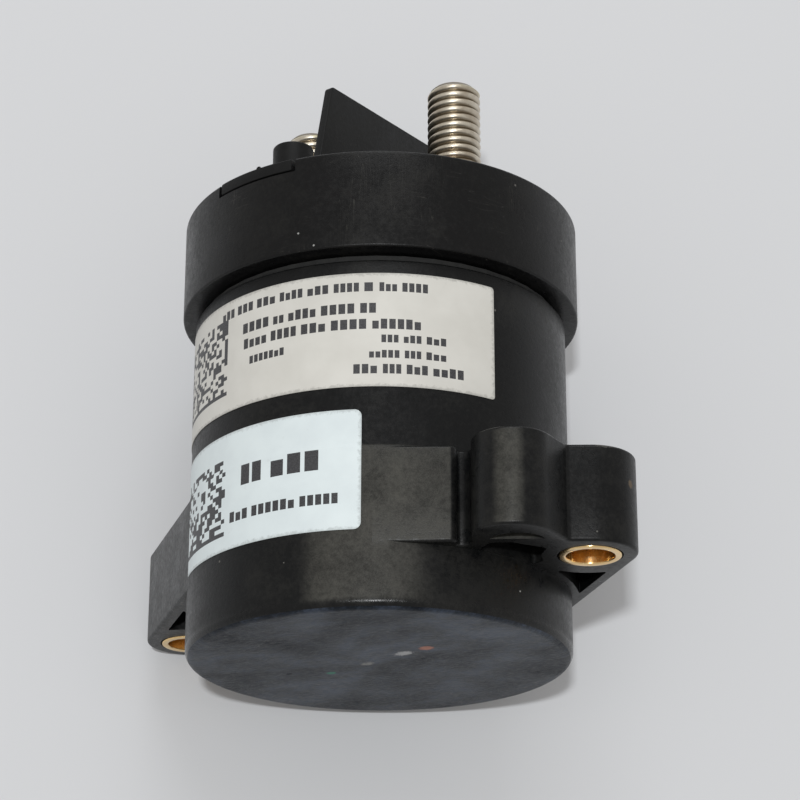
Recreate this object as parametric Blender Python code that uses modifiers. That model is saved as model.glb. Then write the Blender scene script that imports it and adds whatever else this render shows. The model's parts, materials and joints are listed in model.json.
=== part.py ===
# High voltage DC contactor: a sealed round relay with two M8 terminals.
# The Z axis is the axis of the housing, Z = 0 is its flat foot, and the
# mounting ears and the two terminals lie along X. Lengths are in metres.

from math import acos, asin, cos, pi, radians, sin, sqrt, tan

import bmesh
import bpy
from mathutils import Matrix, Vector

# Clearance between pieces that touch, and the sides of round pieces
GAP = 0.0003
LARGE_SIDES = 72
INNER_SIDES = 40
SMALL_SIDES = 24

# Housing: the moulded cup with its two mounting ears
HOUSING_RADIUS = 0.0275
BARREL_STEP = 0.00014
HOUSING_HEIGHT = 0.05036
HOUSING_WALL = 0.0017
FLOOR_THICKNESS = 0.0018
FOOT_ROUND = 0.0013
EDGE_ROUND = 0.0004

# Mounting flange of the housing
FLANGE_BOTTOM = 0.0091
FLANGE_HEIGHT = 0.0137
EAR_REACH = 0.0085
EAR_RADIUS = 0.0065
PLAIN_BOSS_RADIUS = 0.0077
GLAND_BOSS_RADIUS = 0.0066
PLAIN_WALL = 0.0017
PLAIN_LIP = 0.0011
GLAND_TIP_WALL = 0.0032
GLAND_END_WALL = 0.0036
GLAND_SHOULDER_WALL = 0.0006
GLAND_SHOULDER = 0.0031
GLAND_LIP = 0.0003
POCKET_DEPTH = 0.0075
PLAIN_POCKET_END = 0.003
GLAND_POCKET_END = 0.0016

# Lead gland: the half-round tower on the near wall of the right ear
GLAND_INSET = 0.01054
GLAND_STAND = 0.0018
GLAND_RADIUS = 0.0055
GLAND_SLOPE = 30
GROOVE_INSET = 0.0074
GROOVE_DEPTH = 0.0022
LEAD_SLOT_RADIUS = 0.0039
LEAD_SLOT_WIDTH = 0.0026
LEAD_SLOT_STAND = 0.0035
LEAD_SLOT_SHIFT = 0.0006
LEAD_SLOT_DEPTH = 0.0112
DUCT_WIDTH = 0.004
DUCT_HEIGHT = 0.0024

# Brass bushings in the ears
BUSHING_RADIUS = 0.0043
BUSHING_BORE = 0.0033
BUSHING_PROUD = 0.0002

# Cap: the ring that closes the housing and stands proud of it
CAP_OVERHANG = 0.0018
CAP_HEIGHT = 0.01474
CAP_WALL = 0.0023
CAP_FLOOR = 0.002
SHADOW_GAP = 0.0013
SPIGOT_LENGTH = 0.0054
SPIGOT_WALL = 0.0015
RIM_ROUND = 0.0005
GASKET_WIDTH = 0.0007

# Terminal plate: the lid inside the cap, with the barrier, tab and boss
PLATE_THICKNESS = 0.003
PLATE_RECESS = 0.0005
PLATE_SKIRT = 0.0015
TAB_THICKNESS = 0.00175
TAB_WIDTH = 0.0132
TAB_SIDE_GAP = 0.0006
TAB_TURN = 1
BARRIER_HEIGHT = 0.0206
BARRIER_THICKNESS = 0.0014
BARRIER_INSET = 0.00975
BARRIER_SLANT = 0.0042
BOSS_RADIUS = 0.00295
BOSS_HEIGHT = 0.00695
BOSS_INSET = 0.006
BOSS_BORE = 0.0019

# Terminals
STUD_INSET = 0.00803
STUD_RADIUS = 0.00398
STUD_LENGTH = 0.018
STUD_ENGAGEMENT = 0.0072
STUD_CHAMFER = 0.001
SEAT_RADIUS = 0.0065
SEAT_STAND = 0.003
COLLAR_RADIUS = 0.0074
COLLAR_HEIGHT = 0.0018
CONTACT_RADIUS = 0.005
CONTACT_DROP = 0.0064

# Sealed chamber round the contacts
CERAMIC_MARGIN = 0.001
CERAMIC_CORNER = 0.007
CERAMIC_HEIGHT = 0.0163
CERAMIC_WALL = 0.0022
CERAMIC_ROOF = 0.0034
FRAME_WALL = 0.0009
FRAME_MARGIN = 0.0006
FRAME_FLANGE = 0.0012
MAGNET_INSET = 0.00325
MAGNET_THICKNESS = 0.0035
MAGNET_HEIGHT = 0.014
KEEPER_THICKNESS = 0.0012
KEEPER_MARGIN = 0.0011
FILL_TUBE_RADIUS = 0.0015
FILL_TUBE_BORE = 0.0008

# Magnet system
YOKE_WALL = 0.002
YOKE_PLATE = 0.003
BOBBIN_TUBE = 0.0011
BOBBIN_FLANGE = 0.0015
BOBBIN_MARGIN = 0.0004
WINDING_MARGIN = 0.0015
SLEEVE_RADIUS = 0.0082
SLEEVE_WALL = 0.0005
SLEEVE_FLANGE = 0.0025
WORK_GAP_RISE = 0.0028
CORE_FLANGE = 0.0015
SPRING_POCKET_RADIUS = 0.005
CORE_POCKET_DEPTH = 0.005
PLUNGER_POCKET_DEPTH = 0.006

# Moving pieces: stroke of the plunger, and how far the contacts stand open
STROKE = 0.0021
CONTACT_GAP = 0.0017
AIR_GAP = 0.0002
SHAFT_RADIUS = 0.0016
SHAFT_RECESS = 0.002
SHAFT_TIP = 0.0012
SEAT_SLEEVE_WALL = 0.0009
SEAT_FLANGE_RADIUS = 0.0058
SEAT_FLANGE_HEIGHT = 0.0015
SEAT_ROOM = 0.00105
BRIDGE_OVERHANG = 0.00425
BRIDGE_WIDTH = 0.0104
BRIDGE_THICKNESS = 0.0026
CONTACT_TIP_RADIUS = 0.0036
CONTACT_TIP_HEIGHT = 0.0008
CLIP_RADIUS = 0.0044
CLIP_THICKNESS = 0.0008
RETURN_SPRING_RADIUS = 0.0039
RETURN_WIRE = 0.00035
RETURN_TURNS = 5
CONTACT_SPRING_RADIUS = 0.0043
CONTACT_SPRING_LENGTH = 0.0048
CONTACT_WIRE = 0.00045
CONTACT_TURNS = 3

# Sizes across, worked out from the ones above
housing_bore = HOUSING_RADIUS - HOUSING_WALL
ear_x = HOUSING_RADIUS + EAR_REACH
cap_radius = HOUSING_RADIUS + CAP_OVERHANG
cap_bore = cap_radius - CAP_WALL
spigot_outer = housing_bore - GAP
spigot_inner = spigot_outer - SPIGOT_WALL
boss_offset = cap_bore - BOSS_INSET
keeper_outer = boss_offset - FILL_TUBE_RADIUS - KEEPER_MARGIN
ceramic_width = 2 * (keeper_outer - KEEPER_THICKNESS - MAGNET_THICKNESS - 2 * GAP)
corner_x = spigot_inner - CERAMIC_MARGIN - CERAMIC_CORNER
corner_y = ceramic_width / 2 - CERAMIC_CORNER
ceramic_length = 2 * (CERAMIC_CORNER + sqrt(corner_x ** 2 - corner_y ** 2))
stud_x = ceramic_length / 2 - STUD_INSET
yoke_radius = housing_bore - GAP
frame_radius = spigot_inner - FRAME_MARGIN
bobbin_radius = yoke_radius - YOKE_WALL - BOBBIN_MARGIN
core_radius = SLEEVE_RADIUS - SLEEVE_WALL - GAP
seat_sleeve_radius = SHAFT_RADIUS + GAP + SEAT_SLEEVE_WALL

# Heights, from the rim of the cap down to the chamber
flange_top = FLANGE_BOTTOM + FLANGE_HEIGHT
cap_bottom = HOUSING_HEIGHT + SHADOW_GAP
cap_top = cap_bottom + CAP_HEIGHT
plate_top = cap_top - PLATE_RECESS
plate_bottom = plate_top - PLATE_THICKNESS
seat_top = plate_top + SEAT_STAND
collar_bottom = plate_bottom - GAP - COLLAR_HEIGHT
ceramic_top = collar_bottom - GAP
ceramic_bottom = ceramic_top - CERAMIC_HEIGHT
frame_top = ceramic_bottom - GAP

# Heights of what the shaft carries, from the open contacts down
contact_face = ceramic_top - CERAMIC_ROOF - CONTACT_DROP
tip_top = contact_face - CONTACT_GAP
bridge_top = tip_top - CONTACT_TIP_HEIGHT - GAP
bridge_bottom = bridge_top - BRIDGE_THICKNESS
clip_bottom = bridge_top + GAP
shaft_top = clip_bottom + CLIP_THICKNESS + SHAFT_TIP
spring_seat_top = bridge_bottom - 2 * GAP - CONTACT_SPRING_LENGTH
spring_seat_bottom = spring_seat_top - SEAT_FLANGE_HEIGHT

# Heights of the iron under the spring seat, down to the yoke plate
core_top = spring_seat_bottom - SEAT_ROOM
sleeve_top = core_top - CORE_FLANGE - GAP
yoke_plate_top = sleeve_top - SLEEVE_WALL - GAP
yoke_plate_bottom = yoke_plate_top - YOKE_PLATE
frame_bottom = yoke_plate_top + GAP

# Heights of the coil and the plunger, which take the room that is left below
yoke_bottom = FLOOR_THICKNESS + GAP
yoke_top = yoke_plate_bottom - GAP
bobbin_bottom = yoke_bottom + YOKE_WALL + GAP
bobbin_top = yoke_top - GAP
sleeve_bottom = bobbin_bottom + GAP
work_gap_middle = (bobbin_bottom + bobbin_top) / 2 + WORK_GAP_RISE
core_bottom = work_gap_middle + (STROKE + AIR_GAP) / 2
plunger_bottom = sleeve_bottom + SLEEVE_WALL + GAP
plunger_top = core_bottom - STROKE - AIR_GAP

# The side walls of the flange are straight and touch the housing and the ears
wall_angle = acos((HOUSING_RADIUS - EAR_RADIUS) / ear_x)
wall_length = ear_x * sin(wall_angle)
gland_place = wall_length - GLAND_INSET
groove_place = gland_place - GROOVE_INSET
pocket_roof = FLANGE_BOTTOM + POCKET_DEPTH
duct_top = FLANGE_BOTTOM + LEAD_SLOT_DEPTH
gland_normal = Vector((cos(-wall_angle), sin(-wall_angle), 0))
gland_along = Vector((sin(wall_angle), cos(wall_angle), 0))

# The rim tab stands a degree off the Y axis
tab_turn = Matrix.Rotation(-radians(TAB_TURN), 4, "Z")


def clear_scene():
    for item in list(bpy.data.objects):
        bpy.data.objects.remove(item, do_unlink=True)


def make_collection(name):
    collection = bpy.data.collections.new(name)
    bpy.context.scene.collection.children.link(collection)
    return collection


clear_scene()
parts = make_collection("Contactor")
cutters = make_collection("Cutters")


def make_material(name, colour, roughness, metallic=0.0):
    material = bpy.data.materials.new(name)
    material.use_nodes = True
    shader = material.node_tree.nodes["Principled BSDF"]
    shader.inputs["Base Color"].default_value = (*colour, 1)
    shader.inputs["Roughness"].default_value = roughness
    shader.inputs["Metallic"].default_value = metallic
    material.diffuse_color = (*colour, 1)
    return material


black_moulding = make_material("black_moulding", (0.035, 0.036, 0.038), 0.45)
cap_moulding = make_material("cap_moulding", (0.025, 0.025, 0.027), 0.4)
black_rubber = make_material("black_rubber", (0.012, 0.012, 0.012), 0.8)
natural_moulding = make_material("natural_moulding", (0.62, 0.58, 0.48), 0.5)
brass = make_material("brass", (0.83, 0.62, 0.33), 0.3, 1)
plated_steel = make_material("plated_steel", (0.62, 0.59, 0.53), 0.32, 1)
bare_steel = make_material("bare_steel", (0.45, 0.45, 0.46), 0.4, 1)
copper = make_material("copper", (0.8, 0.42, 0.27), 0.35, 1)
silver = make_material("silver", (0.85, 0.84, 0.8), 0.3, 1)
enamelled_wire = make_material("enamelled_wire", (0.5, 0.17, 0.07), 0.4, 0.6)
ceramic = make_material("ceramic", (0.85, 0.84, 0.8), 0.5)
magnet = make_material("magnet", (0.09, 0.09, 0.1), 0.5, 0.4)


def add_object(name, mesh, material):
    piece = bpy.data.objects.new(name, mesh)
    mesh.materials.clear()
    mesh.materials.append(material)
    parts.objects.link(piece)
    return piece


def make_cutter(piece):
    for collection in list(piece.users_collection):
        collection.objects.unlink(piece)
    cutters.objects.link(piece)
    piece.hide_render = True
    piece.display_type = "WIRE"
    return piece


def combine(piece, other, operation):
    make_cutter(other)
    change = piece.modifiers.new(operation.lower() + "_" + other.name, "BOOLEAN")
    change.operation = operation
    change.solver = "EXACT"
    change.object = other
    return piece


def round_edges(piece, width, segments=2, angle=40):
    bevel = piece.modifiers.new("round_edges", "BEVEL")
    bevel.width = width
    bevel.segments = segments
    bevel.limit_method = "ANGLE"
    bevel.angle_limit = radians(angle)
    bevel.use_clamp_overlap = True
    return piece


def turned(name, profile, material, sides=LARGE_SIDES, closed=False):
    # The profile is a list of (radius, height) that runs down its outer side
    mesh = bpy.data.meshes.new(name)
    points = [(radius, 0, height) for radius, height in profile]
    edges = [(i, i + 1) for i in range(len(points) - 1)]
    if closed:
        edges.append((len(points) - 1, 0))
    mesh.from_pydata(points, edges, [])
    piece = add_object(name, mesh, material)
    screw = piece.modifiers.new("turn", "SCREW")
    screw.axis = "Z"
    screw.angle = 2 * pi
    screw.steps = sides
    screw.render_steps = sides
    screw.use_merge_vertices = True
    screw.merge_threshold = 0.00001
    screw.use_smooth_shade = False
    return piece


def tube(name, outer, inner, bottom, top, material, sides=LARGE_SIDES):
    profile = [(inner, top), (outer, top), (outer, bottom), (inner, bottom)]
    return turned(name, profile, material, sides, closed=True)


def disc(name, radius, bottom, top, material, sides=LARGE_SIDES):
    profile = [(0, top), (radius, top), (radius, bottom), (0, bottom)]
    return turned(name, profile, material, sides)


def block(name, size, centre, material):
    mesh = bpy.data.meshes.new(name)
    shape = bmesh.new()
    bmesh.ops.create_cube(shape, size=1)
    bmesh.ops.scale(shape, vec=size, verts=shape.verts)
    shape.to_mesh(mesh)
    shape.free()
    piece = add_object(name, mesh, material)
    piece.location = centre
    return piece


def curve_to_mesh(curve_object, name, material):
    bpy.context.view_layer.update()
    depsgraph = bpy.context.evaluated_depsgraph_get()
    mesh = bpy.data.meshes.new_from_object(curve_object.evaluated_get(depsgraph))
    mesh.name = name
    shape = bmesh.new()
    shape.from_mesh(mesh)
    bmesh.ops.remove_doubles(shape, verts=shape.verts, dist=0.000001)
    bmesh.ops.dissolve_limit(shape, angle_limit=radians(0.5), verts=shape.verts, edges=shape.edges)
    bmesh.ops.recalc_face_normals(shape, faces=shape.faces)
    shape.to_mesh(mesh)
    shape.free()
    matrix = curve_object.matrix_world.copy()
    bpy.data.objects.remove(curve_object, do_unlink=True)
    piece = add_object(name, mesh, material)
    piece.matrix_world = matrix
    return piece


def plate(name, outline, bottom, top, material):
    # A flat outline of (x, y) points, drawn as a filled curve and thickened
    curve = bpy.data.curves.new(name + "_outline", "CURVE")
    curve.dimensions = "2D"
    curve.fill_mode = "BOTH"
    curve.extrude = (top - bottom) / 2
    spline = curve.splines.new("POLY")
    spline.points.add(len(outline) - 1)
    for point, (x, y) in zip(spline.points, outline):
        point.co = (x, y, 0, 1)
    spline.use_cyclic_u = True
    drawn = bpy.data.objects.new(name + "_outline", curve)
    parts.objects.link(drawn)
    drawn.location = (0, 0, (bottom + top) / 2)
    return curve_to_mesh(drawn, name, material)


def arc(centre, radius, start, end, steps):
    # Points on an arc from the start angle to the end angle, in radians
    turn = (end - start) / steps
    return [
        (centre[0] + radius * cos(start + turn * i), centre[1] + radius * sin(start + turn * i))
        for i in range(steps + 1)
    ]


def rounded_rectangle(length, width, corner, steps=6):
    x = length / 2 - corner
    y = width / 2 - corner
    outline = []
    for quarter, centre in enumerate([(x, y), (-x, y), (-x, -y), (x, -y)]):
        start = quarter * pi / 2
        outline += arc(centre, corner, start, start + pi / 2, steps)
    return outline


def turn_half(outline):
    return [(-x, -y) for x, y in outline]


def mirror_y(outline):
    return [(x, -y) for x, y in reversed(outline)]


def on_gland_wall(along, out):
    # A point by its distance along the near wall and its height above it
    point = gland_normal * (HOUSING_RADIUS + out) + gland_along * along
    return (point.x, point.y)


def gland_wall_outline():
    # The near wall of the right ear: pad, groove, half-round tower and ear
    left = gland_place - GLAND_RADIUS
    slope = radians(GLAND_SLOPE)
    steps = 13
    tower = []
    for i in range(steps + 1):
        turn = (pi - slope) * i / steps
        tower.append((gland_place - GLAND_RADIUS * cos(turn), GLAND_STAND + GLAND_RADIUS * sin(turn)))
    right = tower[-1][0] + tower[-1][1] * tan(slope)
    outline = [
        (0, 0),
        (groove_place - EDGE_ROUND, 0),
        (groove_place, -EDGE_ROUND),
        (groove_place, -GROOVE_DEPTH + EDGE_ROUND),
        (groove_place + EDGE_ROUND, -GROOVE_DEPTH),
        (left - EDGE_ROUND, -GROOVE_DEPTH),
        (left, -GROOVE_DEPTH + EDGE_ROUND),
    ]
    outline += tower
    outline += [(right - EDGE_ROUND * tan(slope), EDGE_ROUND), (right + EDGE_ROUND, 0)]
    return [on_gland_wall(along, out) for along, out in outline]


def flange_outline():
    # Inside the housing wall the outline runs on a smaller circle, so that
    # only the ears and their side walls stand out of the round housing.
    inner = (HOUSING_RADIUS + housing_bore) / 2
    ear_steps = 18
    side_steps = 20
    outline = gland_wall_outline()
    outline += arc((ear_x, 0), EAR_RADIUS, -wall_angle, wall_angle, ear_steps)
    outline += arc((0, 0), HOUSING_RADIUS, wall_angle, wall_angle, 1)[:1]
    outline += arc((0, 0), inner, wall_angle, pi - wall_angle, side_steps)
    outline += arc((0, 0), HOUSING_RADIUS, pi - wall_angle, pi - wall_angle, 1)[:1]
    outline += arc((-ear_x, 0), EAR_RADIUS, pi - wall_angle, pi + wall_angle, ear_steps)
    outline += arc((0, 0), HOUSING_RADIUS, pi + wall_angle, pi + wall_angle, 1)[:1]
    outline += arc((0, 0), inner, pi + wall_angle, 2 * pi - wall_angle, side_steps)
    return outline


def pocket_outline(tip_wall, end_wall, lip, boss, end):
    # The hollow under the flange on the +Y side of the right ear, between
    # the housing, the round ear boss and the inside of the straight wall,
    # which is tip_wall thick at the boss and end_wall at the housing; it
    # stops at the distance end from the ear's middle line
    body = HOUSING_RADIUS + lip
    body_start = asin(end / body)
    body_end = wall_angle - acos((HOUSING_RADIUS - end_wall) / body)
    boss_start = wall_angle + acos((HOUSING_RADIUS - tip_wall - ear_x * cos(wall_angle)) / boss)
    boss_end = pi - asin(end / boss)
    outline = arc((ear_x, 0), boss, boss_start, boss_end, 8)
    outline += arc((0, 0), body, body_start, body_end, 10)
    return outline


def gland_pocket_outline():
    # On the gland side the hollow runs in behind the lead slot
    behind = pocket_outline(GLAND_TIP_WALL, GLAND_END_WALL, GLAND_LIP, GLAND_BOSS_RADIUS, GLAND_POCKET_END)
    shoulders = [gland_place, gland_place - GLAND_SHOULDER]
    return mirror_y(behind) + [on_gland_wall(along, -GLAND_SHOULDER_WALL) for along in shoulders]


def make_bushing_seat(x):
    seat = disc("bushing_seat", BUSHING_RADIUS + GAP, FLANGE_BOTTOM - GAP, flange_top + GAP, brass, SMALL_SIDES)
    seat.location.x = x
    return seat


def lead_slot_outline():
    # The part of a circle that lies beyond a straight chord across the tower
    reach = LEAD_SLOT_RADIUS - LEAD_SLOT_WIDTH
    half = acos(reach / LEAD_SLOT_RADIUS)
    steps = 10
    outline = []
    for i in range(steps + 1):
        angle = -half + 2 * half * i / steps
        along = gland_place + LEAD_SLOT_SHIFT - LEAD_SLOT_RADIUS * sin(angle)
        out = LEAD_SLOT_STAND + LEAD_SLOT_RADIUS * cos(angle) - LEAD_SLOT_RADIUS
        outline.append(on_gland_wall(along, out))
    return outline


def place_in_duct(piece, inner_end, outer_end, middle_height):
    # A block whose length runs square to the near wall, at the gland
    radial = gland_normal * ((inner_end + outer_end) / 2) + gland_along * gland_place
    piece.matrix_world = Matrix.Translation((radial.x, radial.y, middle_height)) @ Matrix.Rotation(
        -wall_angle, 4, "Z"
    )
    return piece


def make_housing():
    barrel = HOUSING_RADIUS - BARREL_STEP
    corner = [
        (HOUSING_RADIUS - FOOT_ROUND + FOOT_ROUND * cos(a), FOOT_ROUND - FOOT_ROUND * sin(a))
        for a in [radians(22.5 * i) for i in range(5)]
    ]
    profile = [
        (0, HOUSING_HEIGHT),
        (barrel - EDGE_ROUND / 2, HOUSING_HEIGHT),
        (barrel, HOUSING_HEIGHT - EDGE_ROUND / 2),
        (barrel, flange_top),
        (HOUSING_RADIUS, flange_top),
    ]
    housing = turned("housing", profile + corner + [(0, 0)], black_moulding)

    flange = plate("flange", flange_outline(), FLANGE_BOTTOM, flange_top, black_moulding)
    round_edges(flange, EDGE_ROUND, segments=1, angle=50)
    combine(housing, flange, "UNION")
    cavity = disc("housing_cavity", housing_bore, FLOOR_THICKNESS, HOUSING_HEIGHT + GAP, black_moulding)
    combine(housing, cavity, "DIFFERENCE")

    plain = pocket_outline(PLAIN_WALL, PLAIN_WALL, PLAIN_LIP, PLAIN_BOSS_RADIUS, PLAIN_POCKET_END)
    gland = gland_pocket_outline()
    pockets = {
        "plain_pocket_right": plain,
        "plain_pocket_left": turn_half(plain),
        "gland_pocket_right": gland,
        "gland_pocket_left": turn_half(gland),
    }
    for name, outline in pockets.items():
        pocket = plate(name, outline, FLANGE_BOTTOM - GAP, pocket_roof, black_moulding)
        combine(housing, pocket, "DIFFERENCE")
    for x in (ear_x, -ear_x):
        combine(housing, make_bushing_seat(x), "DIFFERENCE")

    slot = plate("lead_slot", lead_slot_outline(), FLANGE_BOTTOM - GAP, duct_top, black_moulding)
    combine(housing, slot, "DIFFERENCE")
    inner_end = housing_bore * cos(asin(gland_place / housing_bore)) - FLOOR_THICKNESS
    outer_end = HOUSING_RADIUS + LEAD_SLOT_STAND - LEAD_SLOT_WIDTH / 2
    size = (outer_end - inner_end, DUCT_WIDTH, DUCT_HEIGHT)
    duct = block("lead_duct", size, (0, 0, 0), black_moulding)
    place_in_duct(duct, inner_end, outer_end, duct_top - DUCT_HEIGHT / 2 - GAP)
    combine(housing, duct, "DIFFERENCE")
    return housing


def make_lead_seal():
    # The potting that closes the duct between the housing and the lead slot
    inner_end = housing_bore * cos(asin(gland_place / housing_bore)) + 4 * GAP
    outer_end = HOUSING_RADIUS + LEAD_SLOT_STAND - LEAD_SLOT_WIDTH - GAP
    size = (outer_end - inner_end, DUCT_WIDTH - 2 * GAP, DUCT_HEIGHT - 2 * GAP)
    seal = block("lead_seal", size, (0, 0, 0), black_rubber)
    return place_in_duct(seal, inner_end, outer_end, duct_top - DUCT_HEIGHT / 2 - GAP)


def make_bushings():
    bottom = FLANGE_BOTTOM - BUSHING_PROUD
    top = flange_top + BUSHING_PROUD
    chamfer = EDGE_ROUND / 2
    profile = [
        (BUSHING_BORE + chamfer, top),
        (BUSHING_RADIUS - chamfer, top),
        (BUSHING_RADIUS, top - chamfer),
        (BUSHING_RADIUS, bottom + chamfer),
        (BUSHING_RADIUS - chamfer, bottom),
        (BUSHING_BORE + chamfer, bottom),
        (BUSHING_BORE, bottom + chamfer),
        (BUSHING_BORE, top - chamfer),
    ]
    for name, x in (("bushing_right", ear_x), ("bushing_left", -ear_x)):
        bushing = turned(name, profile, brass, SMALL_SIDES, closed=True)
        bushing.location.x = x


def make_cap():
    profile = [
        (cap_bore, cap_top),
        (cap_radius - RIM_ROUND, cap_top),
        (cap_radius, cap_top - RIM_ROUND),
        (cap_radius, cap_bottom + EDGE_ROUND / 2),
        (cap_radius - EDGE_ROUND / 2, cap_bottom),
        (spigot_outer, cap_bottom),
        (spigot_outer, cap_bottom - SPIGOT_LENGTH),
        (spigot_inner, cap_bottom - SPIGOT_LENGTH),
        (spigot_inner, cap_bottom + CAP_FLOOR),
        (cap_bore, cap_bottom + CAP_FLOOR),
    ]
    cap = turned("top_cap", profile, cap_moulding, closed=True)
    notch_depth = TAB_THICKNESS + GAP
    notch_width = TAB_WIDTH + 2 * TAB_SIDE_GAP
    notch_middle = -(cap_bore + cap_radius) / 2
    notch = block(
        "rim_notch",
        (notch_width, 3 * CAP_WALL, 2 * notch_depth),
        (0, notch_middle, cap_top),
        cap_moulding,
    )
    notch.matrix_basis = tab_turn @ notch.matrix_basis
    return combine(cap, notch, "DIFFERENCE")


def make_gasket():
    inner = housing_bore
    bottom = HOUSING_HEIGHT + GAP
    top = cap_bottom - GAP
    tube("cap_gasket", inner + GASKET_WIDTH, inner, bottom, top, black_rubber, INNER_SIDES)


def standing_plate(name, outline, thickness, material):
    # An outline of (y, z) points, as a wall that stands across the X axis
    wall = plate(name, outline, -thickness / 2, thickness / 2, material)
    wall.matrix_world = Matrix(((0, 0, 1, 0), (1, 0, 0, 0), (0, 1, 0, 0), (0, 0, 0, 1)))
    return wall


def make_terminal_plate():
    radius = cap_bore - GAP
    skirt_bottom = cap_bottom + CAP_FLOOR + GAP
    profile = [
        (0, plate_top),
        (radius - RIM_ROUND, plate_top),
        (radius, plate_top - RIM_ROUND),
        (radius, skirt_bottom),
        (radius - PLATE_SKIRT, skirt_bottom),
        (radius - PLATE_SKIRT, plate_bottom),
        (0, plate_bottom),
    ]
    lid = turned("terminal_plate", profile, cap_moulding)

    half_angle = asin(TAB_WIDTH / 2 / cap_radius)
    tab_inner = radius - 2 * PLATE_SKIRT
    tab = [(-TAB_WIDTH / 2, -tab_inner)]
    tab += arc((0, 0), cap_radius, -pi / 2 - half_angle, -pi / 2 + half_angle, 10)
    tab += [(TAB_WIDTH / 2, -tab_inner)]
    rim_tab = plate("rim_tab", tab, cap_top - TAB_THICKNESS, cap_top, cap_moulding)
    rim_tab.matrix_basis = tab_turn @ rim_tab.matrix_basis
    combine(lid, round_edges(rim_tab, EDGE_ROUND / 2, segments=1), "UNION")

    foot = cap_bore - BARRIER_INSET
    crown = foot - BARRIER_SLANT
    crown_height = plate_top + BARRIER_HEIGHT
    root = plate_top - PLATE_THICKNESS / 2
    outline = [(-foot, root), (-foot, plate_top), (-crown, crown_height), (crown, crown_height)]
    outline += [(foot, plate_top), (foot, root)]
    barrier = standing_plate("barrier", outline, BARRIER_THICKNESS, cap_moulding)
    combine(lid, round_edges(barrier, EDGE_ROUND), "UNION")

    boss_top = plate_top + BOSS_HEIGHT
    boss_profile = [
        (0, boss_top),
        (BOSS_RADIUS - EDGE_ROUND, boss_top),
        (BOSS_RADIUS, boss_top - EDGE_ROUND),
        (BOSS_RADIUS, root),
        (0, root),
    ]
    boss = turned("fill_boss", boss_profile, cap_moulding, SMALL_SIDES)
    boss.location.y = -boss_offset
    combine(lid, boss, "UNION")
    boss_roof = boss_top - PLATE_SKIRT
    bore = disc("boss_bore", BOSS_BORE, plate_bottom - GAP, boss_roof, cap_moulding, SMALL_SIDES)
    bore.location.y = -boss_offset
    combine(lid, bore, "DIFFERENCE")

    for x in (stud_x, -stud_x):
        hole = disc("seat_hole", SEAT_RADIUS + GAP, plate_bottom - GAP, plate_top + GAP, cap_moulding, SMALL_SIDES)
        hole.location.x = x
        combine(lid, hole, "DIFFERENCE")
    return lid


def make_fixed_contacts():
    collar_top = collar_bottom + COLLAR_HEIGHT
    tapped = STUD_RADIUS + GAP
    tapped_bottom = seat_top - STUD_ENGAGEMENT - GAP
    chamfer = EDGE_ROUND
    profile = [
        (0, tapped_bottom),
        (tapped, tapped_bottom),
        (tapped, seat_top),
        (SEAT_RADIUS - chamfer, seat_top),
        (SEAT_RADIUS, seat_top - chamfer),
        (SEAT_RADIUS, collar_top),
        (COLLAR_RADIUS, collar_top),
        (COLLAR_RADIUS, collar_bottom),
        (CONTACT_RADIUS, collar_bottom),
        (CONTACT_RADIUS, contact_face + chamfer),
        (CONTACT_RADIUS - chamfer, contact_face),
        (0, contact_face),
    ]
    for name, x in (("fixed_contact_right", stud_x), ("fixed_contact_left", -stud_x)):
        contact = turned(name, profile, copper, SMALL_SIDES)
        contact.location.x = x


def make_studs():
    bottom = seat_top - STUD_ENGAGEMENT
    top = seat_top + STUD_LENGTH
    chamfer = STUD_CHAMFER
    profile = [
        (0, top),
        (STUD_RADIUS - chamfer, top),
        (STUD_RADIUS, top - chamfer),
        (STUD_RADIUS, bottom + chamfer),
        (STUD_RADIUS - chamfer, bottom),
        (0, bottom),
    ]
    for name, x in (("stud_right", stud_x), ("stud_left", -stud_x)):
        stud = turned(name, profile, plated_steel, SMALL_SIDES)
        stud.location.x = x


def make_ceramic_header():
    outer = rounded_rectangle(ceramic_length, ceramic_width, CERAMIC_CORNER)
    header = plate("ceramic_header", outer, ceramic_bottom, ceramic_top, ceramic)
    inside = rounded_rectangle(
        ceramic_length - 2 * CERAMIC_WALL,
        ceramic_width - 2 * CERAMIC_WALL,
        CERAMIC_CORNER - CERAMIC_WALL,
    )
    roof = ceramic_top - CERAMIC_ROOF
    chamber = plate("arc_chamber", inside, ceramic_bottom - GAP, roof, ceramic)
    combine(header, chamber, "DIFFERENCE")
    for x in (stud_x, -stud_x):
        hole = disc("contact_hole", CONTACT_RADIUS + GAP, roof - GAP, ceramic_top + GAP, ceramic, SMALL_SIDES)
        hole.location.x = x
        combine(header, hole, "DIFFERENCE")
    return header


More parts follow.
